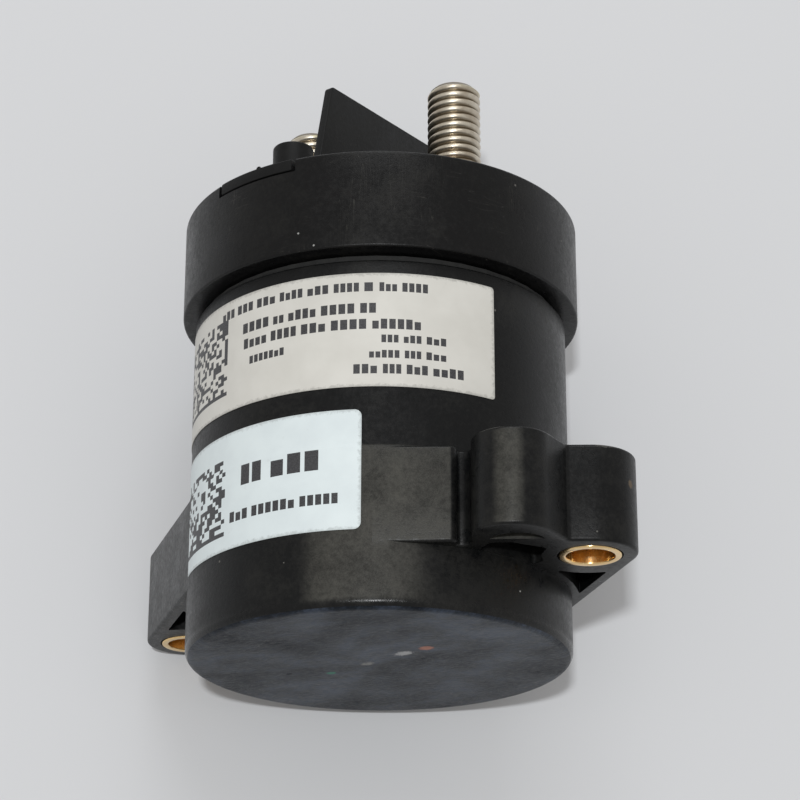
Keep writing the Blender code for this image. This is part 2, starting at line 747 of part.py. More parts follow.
def make_chamber_frame():
    # The drawn steel cup, welded to the yoke plate, that carries the ceramic
    profile = [
        (0, frame_top),
        (frame_radius - FRAME_WALL, frame_top),
        (frame_radius, frame_top - FRAME_WALL),
        (frame_radius, frame_bottom + FRAME_WALL),
        (frame_radius + FRAME_FLANGE, frame_bottom + FRAME_WALL),
        (frame_radius + FRAME_FLANGE, frame_bottom),
        (frame_radius - FRAME_WALL, frame_bottom),
        (frame_radius - FRAME_WALL, frame_top - FRAME_WALL),
        (0, frame_top - FRAME_WALL),
    ]
    frame = turned("chamber_frame", profile, bare_steel, INNER_SIDES)
    inside = rounded_rectangle(
        ceramic_length - 2 * CERAMIC_WALL,
        ceramic_width - 2 * CERAMIC_WALL,
        CERAMIC_CORNER - CERAMIC_WALL,
    )
    opening = plate("frame_opening", inside, frame_top - 2 * FRAME_WALL, frame_top + GAP, bare_steel)
    combine(frame, opening, "DIFFERENCE")
    gas_hole = disc(
        "gas_hole", FILL_TUBE_BORE, frame_top - 2 * FRAME_WALL, frame_top + GAP, bare_steel, SMALL_SIDES
    )
    gas_hole.location.y = -boss_offset
    return combine(frame, gas_hole, "DIFFERENCE")


def make_magnets():
    middle = ceramic_bottom + MAGNET_HEIGHT / 2
    magnet_y = ceramic_width / 2 + GAP + MAGNET_THICKNESS / 2
    keeper_y = magnet_y + MAGNET_THICKNESS / 2 + GAP + KEEPER_THICKNESS / 2
    magnet_length = 2 * (stud_x - MAGNET_INSET)
    magnet_size = (magnet_length, MAGNET_THICKNESS, MAGNET_HEIGHT)
    keeper_size = (magnet_length, KEEPER_THICKNESS, MAGNET_HEIGHT)
    for side, sign in (("front", -1), ("rear", 1)):
        arc_magnet = block("arc_magnet_" + side, magnet_size, (0, sign * magnet_y, middle), magnet)
        round_edges(arc_magnet, EDGE_ROUND, segments=1)
        block("magnet_keeper_" + side, keeper_size, (0, sign * keeper_y, middle), bare_steel)


def swept_rod(name, path, radius, material, resolution):
    curve = bpy.data.curves.new(name + "_path", "CURVE")
    curve.dimensions = "3D"
    curve.bevel_depth = radius
    curve.bevel_resolution = resolution
    curve.use_fill_caps = True
    spline = curve.splines.new("POLY")
    spline.points.add(len(path) - 1)
    for point, place in zip(spline.points, path):
        point.co = (*place, 1)
    drawn = bpy.data.objects.new(name + "_path", curve)
    parts.objects.link(drawn)
    return curve_to_mesh(drawn, name, material)


def make_fill_tube():
    # A copper tube on the chamber, pinched off inside the lid's boss
    bottom = frame_top + GAP
    top = plate_top + BOSS_HEIGHT - PLATE_SKIRT - 2 * GAP
    profile = [
        (0, top),
        (FILL_TUBE_BORE, top),
        (FILL_TUBE_RADIUS, top - PLATE_SKIRT),
        (FILL_TUBE_RADIUS, bottom),
        (FILL_TUBE_BORE, bottom),
        (FILL_TUBE_BORE, top - 2 * PLATE_SKIRT),
        (0, top - 2 * PLATE_SKIRT),
    ]
    fill_tube = turned("fill_tube", profile, copper, SMALL_SIDES)
    fill_tube.location.y = -boss_offset


def make_yoke():
    inner = yoke_radius - YOKE_WALL
    profile = [
        (0, yoke_bottom + YOKE_WALL),
        (inner, yoke_bottom + YOKE_WALL),
        (inner, yoke_top),
        (yoke_radius, yoke_top),
        (yoke_radius, yoke_bottom + FOOT_ROUND),
        (yoke_radius - FOOT_ROUND, yoke_bottom),
        (0, yoke_bottom),
    ]
    cup = turned("yoke_cup", profile, bare_steel, INNER_SIDES)
    window_size = (4 * YOKE_WALL, DUCT_WIDTH, DUCT_HEIGHT + YOKE_WALL)
    window = block("lead_window", window_size, (0, 0, 0), bare_steel)
    reach = yoke_radius * cos(asin(gland_place / yoke_radius))
    place_in_duct(window, reach - 3 * YOKE_WALL, reach + YOKE_WALL, duct_top - DUCT_HEIGHT / 2)
    combine(cup, window, "DIFFERENCE")
    bore = SLEEVE_RADIUS + GAP
    tube("yoke_plate", yoke_radius, bore, yoke_plate_bottom, yoke_plate_top, bare_steel, INNER_SIDES)


def make_coil():
    bore = SLEEVE_RADIUS + GAP
    barrel = bore + BOBBIN_TUBE
    profile = [
        (bore, bobbin_top),
        (bobbin_radius, bobbin_top),
        (bobbin_radius, bobbin_top - BOBBIN_FLANGE),
        (barrel, bobbin_top - BOBBIN_FLANGE),
        (barrel, bobbin_bottom + BOBBIN_FLANGE),
        (bobbin_radius, bobbin_bottom + BOBBIN_FLANGE),
        (bobbin_radius, bobbin_bottom),
        (bore, bobbin_bottom),
    ]
    turned("bobbin", profile, natural_moulding, INNER_SIDES, closed=True)
    low = bobbin_bottom + BOBBIN_FLANGE + GAP
    high = bobbin_top - BOBBIN_FLANGE - GAP
    outer = bobbin_radius - WINDING_MARGIN
    tube("coil_winding", outer, barrel + GAP, low, high, enamelled_wire, INNER_SIDES)


def make_plunger_sleeve():
    inner = SLEEVE_RADIUS - SLEEVE_WALL
    flange = SLEEVE_RADIUS + SLEEVE_FLANGE
    profile = [
        (0, sleeve_bottom + SLEEVE_WALL),
        (inner, sleeve_bottom + SLEEVE_WALL),
        (inner, sleeve_top),
        (flange, sleeve_top),
        (flange, sleeve_top - SLEEVE_WALL),
        (SLEEVE_RADIUS, sleeve_top - SLEEVE_WALL),
        (SLEEVE_RADIUS, sleeve_bottom),
        (0, sleeve_bottom),
    ]
    turned("plunger_sleeve", profile, bare_steel, SMALL_SIDES)


def make_fixed_core():
    hole = SHAFT_RADIUS + GAP
    flange = SLEEVE_RADIUS + SLEEVE_FLANGE / 2
    flange_bottom = core_top - CORE_FLANGE
    pocket_top = core_bottom + CORE_POCKET_DEPTH
    profile = [
        (hole, core_top),
        (flange, core_top),
        (flange, flange_bottom),
        (core_radius, flange_bottom),
        (core_radius, core_bottom),
        (SPRING_POCKET_RADIUS, core_bottom),
        (SPRING_POCKET_RADIUS, pocket_top),
        (hole, pocket_top),
    ]
    turned("fixed_core", profile, bare_steel, SMALL_SIDES, closed=True)


def make_plunger():
    hole = SHAFT_RADIUS + GAP
    pocket_bottom = plunger_top - PLUNGER_POCKET_DEPTH
    profile = [
        (hole, pocket_bottom),
        (SPRING_POCKET_RADIUS, pocket_bottom),
        (SPRING_POCKET_RADIUS, plunger_top),
        (core_radius, plunger_top),
        (core_radius, plunger_bottom),
        (hole, plunger_bottom),
    ]
    turned("plunger", profile, bare_steel, SMALL_SIDES, closed=True)


def make_shaft():
    bottom = plunger_bottom + SHAFT_RECESS
    chamfer = EDGE_ROUND
    profile = [
        (0, shaft_top),
        (SHAFT_RADIUS - chamfer, shaft_top),
        (SHAFT_RADIUS, shaft_top - chamfer),
        (SHAFT_RADIUS, bottom),
        (0, bottom),
    ]
    turned("shaft", profile, plated_steel, SMALL_SIDES)


def make_spring_seat():
    # The insulating sleeve that carries the contact spring and the bridge
    bore = SHAFT_RADIUS + GAP
    sleeve_end = clip_bottom - GAP
    profile = [
        (bore, sleeve_end),
        (seat_sleeve_radius, sleeve_end),
        (seat_sleeve_radius, spring_seat_top),
        (SEAT_FLANGE_RADIUS, spring_seat_top),
        (SEAT_FLANGE_RADIUS, spring_seat_bottom),
        (bore, spring_seat_bottom),
    ]
    turned("spring_seat", profile, natural_moulding, SMALL_SIDES, closed=True)


def make_contact_bridge():
    length = 2 * (stud_x + BRIDGE_OVERHANG)
    outline = rounded_rectangle(length, BRIDGE_WIDTH, BRIDGE_WIDTH / 3)
    bridge = plate("contact_bridge", outline, bridge_bottom, bridge_top, copper)
    hole = disc(
        "bridge_hole",
        seat_sleeve_radius + GAP,
        bridge_bottom - GAP,
        bridge_top + GAP,
        copper,
        SMALL_SIDES,
    )
    combine(bridge, hole, "DIFFERENCE")
    low = tip_top - CONTACT_TIP_HEIGHT
    for name, x in (("contact_tip_right", stud_x), ("contact_tip_left", -stud_x)):
        profile = [
            (0, tip_top),
            (CONTACT_TIP_RADIUS - EDGE_ROUND, tip_top),
            (CONTACT_TIP_RADIUS, tip_top - EDGE_ROUND),
            (CONTACT_TIP_RADIUS, low),
            (0, low),
        ]
        tip = turned(name, profile, silver, SMALL_SIDES)
        tip.location.x = x


def make_shaft_clip():
    # A snap ring with an open side, over the end of the shaft
    inner = SHAFT_RADIUS + GAP
    clip = tube("shaft_clip", CLIP_RADIUS, inner, clip_bottom, clip_bottom + CLIP_THICKNESS, plated_steel, SMALL_SIDES)
    mouth = block(
        "clip_mouth",
        (CLIP_RADIUS * 2, inner * 1.5, CLIP_THICKNESS * 3),
        (CLIP_RADIUS, 0, clip_bottom + CLIP_THICKNESS / 2),
        plated_steel,
    )
    return combine(clip, mouth, "DIFFERENCE")


def make_spring(name, radius, wire, turns, bottom, top):
    low = bottom + wire
    rise = top - bottom - 2 * wire
    steps = round(turns * 10)
    path = []
    for i in range(steps + 1):
        angle = 2 * pi * turns * i / steps
        path.append((radius * cos(angle), radius * sin(angle), low + rise * i / steps))
    swept_rod(name, path, wire, plated_steel, 2)


def make_springs():
    return_bottom = plunger_top - PLUNGER_POCKET_DEPTH + GAP
    return_top = core_bottom + CORE_POCKET_DEPTH - GAP
    make_spring("return_spring", RETURN_SPRING_RADIUS, RETURN_WIRE, RETURN_TURNS, return_bottom, return_top)
    contact_bottom = spring_seat_top + GAP
    contact_top = bridge_bottom - GAP
    make_spring(
        "contact_spring", CONTACT_SPRING_RADIUS, CONTACT_WIRE, CONTACT_TURNS, contact_bottom, contact_top
    )


def shade_round_pieces():
    for piece in parts.objects:
        piece.data.shade_smooth()
        piece.data.set_sharp_from_angle(angle=radians(35))


make_housing()
make_lead_seal()
make_bushings()
make_cap()
make_gasket()
make_terminal_plate()
make_fixed_contacts()
make_studs()
make_ceramic_header()
make_chamber_frame()
make_magnets()
make_fill_tube()
make_yoke()
make_coil()
make_plunger_sleeve()
make_fixed_core()
make_plunger()
make_shaft()
make_spring_seat()
make_contact_bridge()
make_shaft_clip()
make_springs()
shade_round_pieces()
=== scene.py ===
import json
import random
from math import acos, asin, cos, pi, radians, sin, sqrt, tan

import bmesh
import bpy
from mathutils import Matrix, Vector


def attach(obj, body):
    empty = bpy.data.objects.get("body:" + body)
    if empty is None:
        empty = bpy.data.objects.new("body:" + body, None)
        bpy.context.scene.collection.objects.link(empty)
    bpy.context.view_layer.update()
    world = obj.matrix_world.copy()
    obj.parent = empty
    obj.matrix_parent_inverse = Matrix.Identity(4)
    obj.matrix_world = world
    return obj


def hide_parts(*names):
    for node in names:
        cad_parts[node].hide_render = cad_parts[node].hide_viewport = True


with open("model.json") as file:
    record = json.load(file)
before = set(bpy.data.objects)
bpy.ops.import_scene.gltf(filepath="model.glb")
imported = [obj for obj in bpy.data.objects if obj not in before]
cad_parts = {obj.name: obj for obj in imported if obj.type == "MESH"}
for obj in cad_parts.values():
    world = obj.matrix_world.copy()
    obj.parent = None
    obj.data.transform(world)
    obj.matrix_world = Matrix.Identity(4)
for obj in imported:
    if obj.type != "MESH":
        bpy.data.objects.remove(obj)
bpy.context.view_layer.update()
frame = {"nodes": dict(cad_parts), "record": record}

nodes = frame["nodes"]


# Shader helpers

def addNode(tree, kind, inputs=None, **settings):
    node = tree.nodes.new(kind)
    for name, value in settings.items():
        setattr(node, name, value)
    for key, value in (inputs or {}).items():
        socket = node.inputs[key]
        if isinstance(value, bpy.types.NodeSocket):
            tree.links.new(value, socket)
        else:
            socket.default_value = value
    return node


def newMaterial(name):
    material = bpy.data.materials.new(name)
    material.use_nodes = True
    tree = material.node_tree
    return material, tree, tree.nodes["Principled BSDF"]


def setShader(shader, **values):
    names = {"colour": "Base Color", "roughness": "Roughness", "metallic": "Metallic", "normal": "Normal",
             "specular": "Specular IOR Level"}
    tree = shader.id_data
    for key, value in values.items():
        socket = shader.inputs[names[key]]
        if isinstance(value, bpy.types.NodeSocket):
            tree.links.new(value, socket)
        elif key == "colour":
            socket.default_value = (*value, 1)
        else:
            socket.default_value = value


def objectCoords(tree, scale=(1, 1, 1), rotation=(0, 0, 0)):
    coords = addNode(tree, "ShaderNodeTexCoord").outputs["Object"]
    return addNode(tree, "ShaderNodeMapping", {
        "Vector": coords, "Scale": scale, "Rotation": rotation}).outputs[0]


def splitCoords(tree):
    return addNode(tree, "ShaderNodeSeparateXYZ", {"Vector": objectCoords(tree)}).outputs


def noise(tree, coords, scale, detail=3.0, roughness=0.55):
    return addNode(tree, "ShaderNodeTexNoise", {
        "Vector": coords, "Scale": scale, "Detail": detail, "Roughness": roughness}).outputs[0]


def remap(tree, value, low, high, toLow=0.0, toHigh=1.0, smooth=False):
    return addNode(tree, "ShaderNodeMapRange", {
        "Value": value, "From Min": low, "From Max": high, "To Min": toLow, "To Max": toHigh},
        interpolation_type="SMOOTHSTEP" if smooth else "LINEAR").outputs[0]


def calc(tree, operation, first, second=0.0, clamp=False):
    return addNode(tree, "ShaderNodeMath", {0: first, 1: second}, operation=operation, use_clamp=clamp).outputs[0]


def mixColour(tree, factor, first, second, blend="MIX"):
    node = addNode(tree, "ShaderNodeMix", data_type="RGBA", blend_type=blend)
    for socket, value in ((node.inputs[0], factor), (node.inputs[6], first), (node.inputs[7], second)):
        if isinstance(value, bpy.types.NodeSocket):
            tree.links.new(value, socket)
        elif isinstance(value, tuple):
            socket.default_value = (*value, 1)
        else:
            socket.default_value = value
    return node.outputs[2]


def bump(tree, height, distance, strength):
    return addNode(tree, "ShaderNodeBump", {
        "Height": height, "Distance": distance, "Strength": strength}).outputs[0]


# Moulded plastic: housing, cap and lid

def spotMask(tree, place, radii, ragged):
    # An uneven fleck round a point of the surface, by its size along three axes
    coords = addNode(tree, "ShaderNodeTexCoord").outputs["Object"]
    moved = addNode(tree, "ShaderNodeVectorMath", {
        0: coords, 1: tuple(-c for c in place)}, operation="ADD").outputs[0]
    sized = addNode(tree, "ShaderNodeMapping", {
        "Vector": moved, "Scale": tuple(1 / r for r in radii)}).outputs[0]
    away = addNode(tree, "ShaderNodeVectorMath", {0: sized}, operation="LENGTH").outputs["Value"]
    rough = noise(tree, coords, 4200, 2)
    edge = calc(tree, "MULTIPLY_ADD", rough, ragged * 2)
    edge.node.inputs[2].default_value = -ragged
    return remap(tree, calc(tree, "ADD", away, edge), 0.75, 1.1, 1.0, 0.0, smooth=True)


def paintedSheenMask(tree, paintedSheenAndFootGloss):
    # Painted sheen: walls that face one way are paler, up to the flange's top and down to the foot
    place = splitCoords(tree)
    normal = addNode(tree, "ShaderNodeNewGeometry").outputs["Normal"]
    reach = addNode(tree, "ShaderNodeVectorMath", {0: normal, 1: (*paintedSheenAndFootGloss["toward"], 0)},
                    operation="DOT_PRODUCT").outputs["Value"]
    side = remap(tree, reach, paintedSheenAndFootGloss["from"], paintedSheenAndFootGloss["to"], 0.0, paintedSheenAndFootGloss["strength"], smooth=True)
    low = remap(tree, place[2], *paintedSheenAndFootGloss["below"], 1.0, 0.0)
    foot = remap(tree, place[2], *paintedSheenAndFootGloss["above"], smooth=True)
    # It stops before the ear and leaves out the floor of the groove
    ahead = remap(tree, place[1], *paintedSheenAndFootGloss["ahead"], 1.0, 0.0, smooth=True)
    proud = calc(tree, "SUBTRACT", calc(tree, "MULTIPLY", place[0], paintedSheenAndFootGloss["wall"][0]),
                 calc(tree, "MULTIPLY", place[1], paintedSheenAndFootGloss["wall"][1]))
    raised = remap(tree, proud, *paintedSheenAndFootGloss["proud"], smooth=True)
    patch = calc(tree, "MULTIPLY", ahead, raised)
    return calc(tree, "MULTIPLY", calc(tree, "MULTIPLY", side, low), calc(tree, "MULTIPLY", foot, patch))


def makeMoulding(name, look):
    material, tree, shader = newMaterial(name)
    coords = objectCoords(tree, scale=look.get("stretch", (1, 1, 1)))
    mottle = noise(tree, coords, look["mottleScale"], 5, 0.62)
    broad = noise(tree, coords, look["mottleScale"] * 0.22, 2)
    grain = noise(tree, coords, 5200, 3, 0.7)
    blotch = noise(tree, coords, 1500, 3, 0.65)
    worn = remap(tree, calc(tree, "MULTIPLY", mottle, broad), 0.16, 0.42, smooth=True)
    worn = calc(tree, "ADD", worn, remap(tree, grain, 0.35, 0.7, -0.3, 0.3))
    worn = calc(tree, "ADD", worn, remap(tree, blotch, 0.35, 0.7, -0.35, 0.35), clamp=True)
    colour = mixColour(tree, worn, look["dark"], look["pale"])

    specks = addNode(tree, "ShaderNodeTexVoronoi", {"Vector": coords, "Scale": look["speckScale"]})
    pick = addNode(tree, "ShaderNodeSeparateColor", {"Color": specks.outputs["Color"]}).outputs
    size = remap(tree, pick[1], 0, 1, 0.03, 0.085)
    dot = calc(tree, "LESS_THAN", specks.outputs["Distance"], size)
    speck = calc(tree, "MULTIPLY", dot, calc(tree, "GREATER_THAN", pick[0], look["speckShare"]))
    colour = mixColour(tree, calc(tree, "MULTIPLY", speck, 0.5), colour, (0.22, 0.21, 0.19))

    roughness = remap(tree, mottle, 0.3, 0.7, look["roughness"] - 0.05, look["roughness"] + 0.06)
    roughness = calc(tree, "ADD", roughness, remap(tree, blotch, 0.35, 0.65, -0.06, 0.06))
    if "paintedSheenAndFootGloss" in look:
        # Painted sheen: a paler colour, in mottled patches, on walls that face one way
        patch = calc(tree, "ADD", remap(tree, mottle, 0.3, 0.7, 0.55, 1.05), remap(tree, grain, 0.35, 0.7, -0.2, 0.2))
        patch = calc(tree, "MULTIPLY", patch, remap(tree, blotch, 0.3, 0.7, 0.7, 1.15))
        mask = calc(tree, "MULTIPLY", paintedSheenMask(tree, look["paintedSheenAndFootGloss"]), patch, clamp=True)
        colour = mixColour(tree, mask, colour, look["paintedSheenAndFootGloss"]["colour"])
        roughness = calc(tree, "ADD", roughness, calc(tree, "MULTIPLY", mask, 0.1))
        height = splitCoords(tree)[2]
        edge = look["paintedSheenAndFootGloss"]["footEdge"]
        shine = remap(tree, height, *edge, look["paintedSheenAndFootGloss"]["footShine"], 0.0)
        roughness = calc(tree, "ADD", roughness, shine)
        setShader(shader, specular=remap(tree, height, *edge, look["paintedSheenAndFootGloss"]["footGloss"], look["specular"]))
    for mark in look.get("marks", []):
        mask = spotMask(tree, mark["place"], mark["radii"], mark.get("ragged", 0.5))
        mask = calc(tree, "MULTIPLY", mask, mark.get("strength", 1.0))
        colour = mixColour(tree, mask, colour, mark["colour"])
        roughness = calc(tree, "ADD", roughness, calc(tree, "MULTIPLY", mask, 0.15))
    for scratch in look.get("scratches", []):
        lines = noise(tree, objectCoords(tree, scale=scratch["scale"], rotation=scratch["turn"]), 1000, 1.5)
        line = remap(tree, calc(tree, "ABSOLUTE", calc(tree, "SUBTRACT", lines, 0.5)), 0, scratch["width"], 1, 0)
        patch = remap(tree, noise(tree, coords, scratch["patchScale"], 2), 0.5, 0.64, smooth=True)
        line = calc(tree, "MULTIPLY", calc(tree, "MULTIPLY", line, patch), scratch["strength"])
        colour = mixColour(tree, line, colour, scratch["colour"])
    setShader(shader, colour=colour, roughness=roughness)
    if "paintedSheenAndFootGloss" not in look:
        setShader(shader, specular=look["specular"])
    if "sheen" in look:
        part = look["specular"] * look["sheen"]
        gloss = calc(tree, "ADD", remap(tree, broad, 0.32, 0.68, -part, part), look["specular"])
        gloss = calc(tree, "ADD", gloss, remap(tree, mottle, 0.32, 0.68, -part * 0.7, part * 0.7), clamp=True)
        setShader(shader, specular=gloss)
        shader.inputs["Specular Tint"].default_value = (*look["tint"], 1)
    rise = calc(tree, "ADD", calc(tree, "MULTIPLY", grain, look["grain"]), calc(tree, "MULTIPLY", blotch, 1.5))
    setShader(shader, normal=bump(tree, rise, look["relief"], 0.6))
    return material


housingLook = {
    "dark": (0.0042, 0.0045, 0.0048), "pale": (0.0118, 0.0117, 0.011),
    # Painted sheen on walls that face one way, and the gloss of the foot's rounded edge
    "paintedSheenAndFootGloss": {
        "toward": (0.485, -0.875), "from": 0.9, "to": 1.0, "strength": 0.85, "colour": (0.066, 0.064, 0.055),
        "below": (0.0229, 0.0231), "above": (0.0008, 0.0018), "ahead": (-0.0112, -0.0095),
        "wall": (0.5833, 0.8122), "proud": (0.0256, 0.0266),
        "footEdge": (0.0011, 0.0019), "footShine": -0.12, "footGloss": 0.26,
    },
    "mottleScale": 240, "roughness": 0.34, "specular": 0.22, "grain": 1.0, "relief": 0.00003,
    "speckScale": 420, "speckShare": 0.94,
    "marks": [
        {"place": (0.0272, -0.00405, 0.00469), "radii": (0.00012, 0.00012, 0.00012), "colour": (0.4, 0.4, 0.38)},
        {"place": (0.04248, 0.0004, 0.018), "radii": (0.0006, 0.0005, 0.0006), "colour": (0.13, 0.095, 0.06),
         "ragged": 0.9, "strength": 0.8},
        {"place": (0.0412, -0.0038, 0.0227), "radii": (0.0013, 0.0013, 0.00035), "colour": (0.09, 0.088, 0.08),
         "ragged": 1.2, "strength": 0.7},
    ],
}
footLook = {
    "dark": (0.0025, 0.0035, 0.0065), "pale": (0.027, 0.035, 0.055), "stretch": (0.7, 1, 1),
    "mottleScale": 420, "roughness": 0.42, "specular": 0.32, "sheen": 0.6, "tint": (0.74, 0.87, 1),
    "grain": 1.0, "relief": 0.00007,
    "speckScale": 380, "speckShare": 0.9,
    "marks": [
        {"place": (-0.0085, -0.0002, 0), "radii": (0.0008, 0.0006, 0.001), "colour": (0.045, 0.16, 0.11)},
        {"place": (-0.0013, -0.001, 0), "radii": (0.001, 0.0007, 0.001), "colour": (0.26, 0.25, 0.23), "ragged": 0.9,
         "strength": 0.7},
        {"place": (0.0061, -0.0022, 0), "radii": (0.0014, 0.0009, 0.001), "colour": (0.36, 0.36, 0.36), "ragged": 1.1},
        {"place": (0.0102, -0.0025, 0), "radii": (0.0011, 0.0009, 0.001), "colour": (0.34, 0.14, 0.09), "ragged": 0.7},
        {"place": (-0.0137, -0.0034, 0), "radii": (0.0006, 0.00035, 0.001), "colour": (0.004, 0.004, 0.005)},
    ],
    "scratches": [
        {"scale": (1.0, 0.05, 1), "turn": (0, 0, 0.65), "width": 0.012, "patchScale": 130, "strength": 0.5,
         "colour": (0.005, 0.005, 0.006)},
        {"scale": (0.9, 0.04, 1), "turn": (0, 0, 0.9), "width": 0.008, "patchScale": 170, "strength": 0.4,
         "colour": (0.1, 0.1, 0.105)},
        {"scale": (0.05, 0.8, 1), "turn": (0, 0, 0.12), "width": 0.01, "patchScale": 150, "strength": 0.35,
         "colour": (0.07, 0.072, 0.078)},
    ],
}
capLook = {
    "dark": (0.004, 0.004, 0.0042), "pale": (0.0098, 0.0096, 0.0089),
    "mottleScale": 260, "roughness": 0.35, "specular": 0.22, "grain": 1.0, "relief": 0.00003,
    "speckScale": 520, "speckShare": 0.88,
    "marks": [
        {"place": (0.00734, -0.02836, 0.0545), "radii": (0.00016, 0.00016, 0.00016), "colour": (0.3, 0.3, 0.29)},
        {"place": (0.0096, -0.02768, 0.0523), "radii": (0.00013, 0.00013, 0.00016), "colour": (0.3, 0.3, 0.29)},
    ],
    "scratches": [
        {"scale": (1, 1, 0.06), "turn": (0.35, 0.25, 0), "width": 0.006, "patchScale": 110, "strength": 0.3,
         "colour": (0.12, 0.115, 0.1)},
        {"scale": (0.08, 0.08, 1), "turn": (0.1, 0.2, 0), "width": 0.005, "patchScale": 140, "strength": 0.22,
         "colour": (0.11, 0.105, 0.095)},
    ],
}
lidLook = {
    "dark": (0.004, 0.0042, 0.0044), "pale": (0.0085, 0.0085, 0.0082),
    "mottleScale": 190, "roughness": 0.5, "specular": 0.22, "grain": 0.8, "relief": 0.00002,
    "speckScale": 500, "speckShare": 0.93,
}
housingPlastic = makeMoulding("housingPlastic", housingLook)
footPlastic = makeMoulding("footPlastic", footLook)
capPlastic = makeMoulding("capPlastic", capLook)
lidPlastic = makeMoulding("lidPlastic", lidLook)


# Metals, paper and the finishes of the inner pieces

def makeMetal(name, look):
    material, tree, shader = newMaterial(name)
    coords = objectCoords(tree, scale=look.get("stretch", (1, 1, 1)))
    cloud = noise(tree, objectCoords(tree), look.get("cloudScale", 300), 4)
    fine = noise(tree, coords, 5000, 3, 0.65)
    mix = remap(tree, cloud, 0.35, 0.68, smooth=True)
    colour = mixColour(tree, mix, look["colour"], look["tarnish"])
    if "tint" in look:
        high = remap(tree, splitCoords(tree)[2], look["tintFrom"], look["tintTo"], smooth=True)
        patch = remap(tree, noise(tree, objectCoords(tree), 420, 3), 0.42, 0.62, smooth=True)
        colour = mixColour(tree, calc(tree, "MULTIPLY", high, patch), colour, look["tint"])
    if "groove" in look:
        # Painted shade: the roots of the thread are darker; both studs stand on the X axis
        spot = splitCoords(tree)
        across = calc(tree, "SUBTRACT", calc(tree, "ABSOLUTE", spot[0]), look["groove"]["x"])
        reach = calc(tree, "SQRT", calc(tree, "ADD", calc(tree, "POWER", calc(tree, "ABSOLUTE", across), 2.0),
                                        calc(tree, "POWER", calc(tree, "ABSOLUTE", spot[1]), 2.0)))
        rootShade = remap(tree, reach, look["groove"]["from"], look["groove"]["to"], 1.0, 0.0, smooth=True)
        colour = mixColour(tree, rootShade, colour, look["groove"]["colour"])
    rough = remap(tree, fine, 0.3, 0.7, look["roughness"] - 0.07, look["roughness"] + 0.09)
    setShader(shader, colour=colour, roughness=rough, metallic=look.get("metallic", 1.0))
    setShader(shader, normal=bump(tree, fine, look.get("relief", 0.000006), 0.6))
    return material


brass = makeMetal("turnedBrass", {
    "colour": (0.9, 0.67, 0.36), "tarnish": (0.84, 0.58, 0.27), "roughness": 0.2, "stretch": (1, 1, 0.1)})
studSteel = makeMetal("platedStud", {
    "colour": (0.74, 0.68, 0.57), "tarnish": (0.56, 0.49, 0.39), "roughness": 0.34, "cloudScale": 400,
    # Painted shade in the roots of the thread
    "groove": {"x": 0.013762, "from": 0.00346, "to": 0.0039, "colour": (0.24, 0.195, 0.14)},
    "relief": 0.000002,
    "tint": (0.55, 0.55, 0.2), "tintFrom": 0.0855, "tintTo": 0.0868})
copper = makeMetal("terminalCopper", {
    "colour": (0.78, 0.43, 0.29), "tarnish": (0.55, 0.28, 0.18), "roughness": 0.34})
innerSteel = makeMetal("yokeSteel", {
    "colour": (0.5, 0.5, 0.49), "tarnish": (0.38, 0.37, 0.36), "roughness": 0.4})
silver = makeMetal("contactSilver", {
    "colour": (0.86, 0.85, 0.81), "tarnish": (0.68, 0.66, 0.6), "roughness": 0.3})
springSteel = makeMetal("springSteel", {
    "colour": (0.55, 0.54, 0.52), "tarnish": (0.4, 0.39, 0.37), "roughness": 0.3})
sinteredMagnet = makeMetal("sinteredMagnet", {
    "colour": (0.11, 0.11, 0.12), "tarnish": (0.07, 0.07, 0.075), "roughness": 0.5, "metallic": 0.5,
    "relief": 0.00002})


def makeWinding():
    material, tree, shader = newMaterial("windingWire")
    turns = addNode(tree, "ShaderNodeTexWave", {
        "Vector": objectCoords(tree), "Scale": 620, "Distortion": 0.4}, wave_type="BANDS",
        bands_direction="Z").outputs[1]
    colour = mixColour(tree, turns, (0.2, 0.055, 0.02), (0.5, 0.17, 0.06))
    setShader(shader, colour=colour, roughness=0.32, metallic=0.55, normal=bump(tree, turns, 0.0001, 0.8))
    return material


def makePlain(name, colour, shade, roughness, scale=900, relief=0.00001):
    material, tree, shader = newMaterial(name)
    cloud = noise(tree, objectCoords(tree), scale, 4)
    mixed = mixColour(tree, remap(tree, cloud, 0.35, 0.65, smooth=True), colour, shade)
    rough = remap(tree, cloud, 0.3, 0.7, roughness - 0.05, roughness + 0.06)
    setShader(shader, colour=mixed, roughness=rough, normal=bump(tree, cloud, relief, 0.5))
    return material


windingWire = makeWinding()
naturalNylon = makePlain("naturalNylon", (0.62, 0.57, 0.46), (0.54, 0.49, 0.39), 0.48)
firedCeramic = makePlain("firedCeramic", (0.84, 0.83, 0.79), (0.76, 0.74, 0.7), 0.52)
sealRubber = makePlain("sealRubber", (0.012, 0.012, 0.012), (0.02, 0.02, 0.019), 0.75, relief=0.00003)


def tearMask(tree, place, tear):
    # A ragged patch on the label, by its middle and half sizes in millimetres
    moved = addNode(tree, "ShaderNodeVectorMath", {
        0: place, 1: (-tear["middle"][0], -tear["middle"][1], 0)}, operation="ADD").outputs[0]
    sized = addNode(tree, "ShaderNodeMapping", {
        "Vector": moved, "Scale": (1 / tear["half"][0], 1 / tear["half"][1], 1)}).outputs[0]
    away = addNode(tree, "ShaderNodeVectorMath", {0: sized}, operation="LENGTH").outputs["Value"]
    ragged = remap(tree, noise(tree, place, 3.5, 3, 0.7), 0.3, 0.7, -0.45, 0.45)
    return remap(tree, calc(tree, "ADD", away, ragged), 0.8, 1.0, tear["strength"], 0.0)


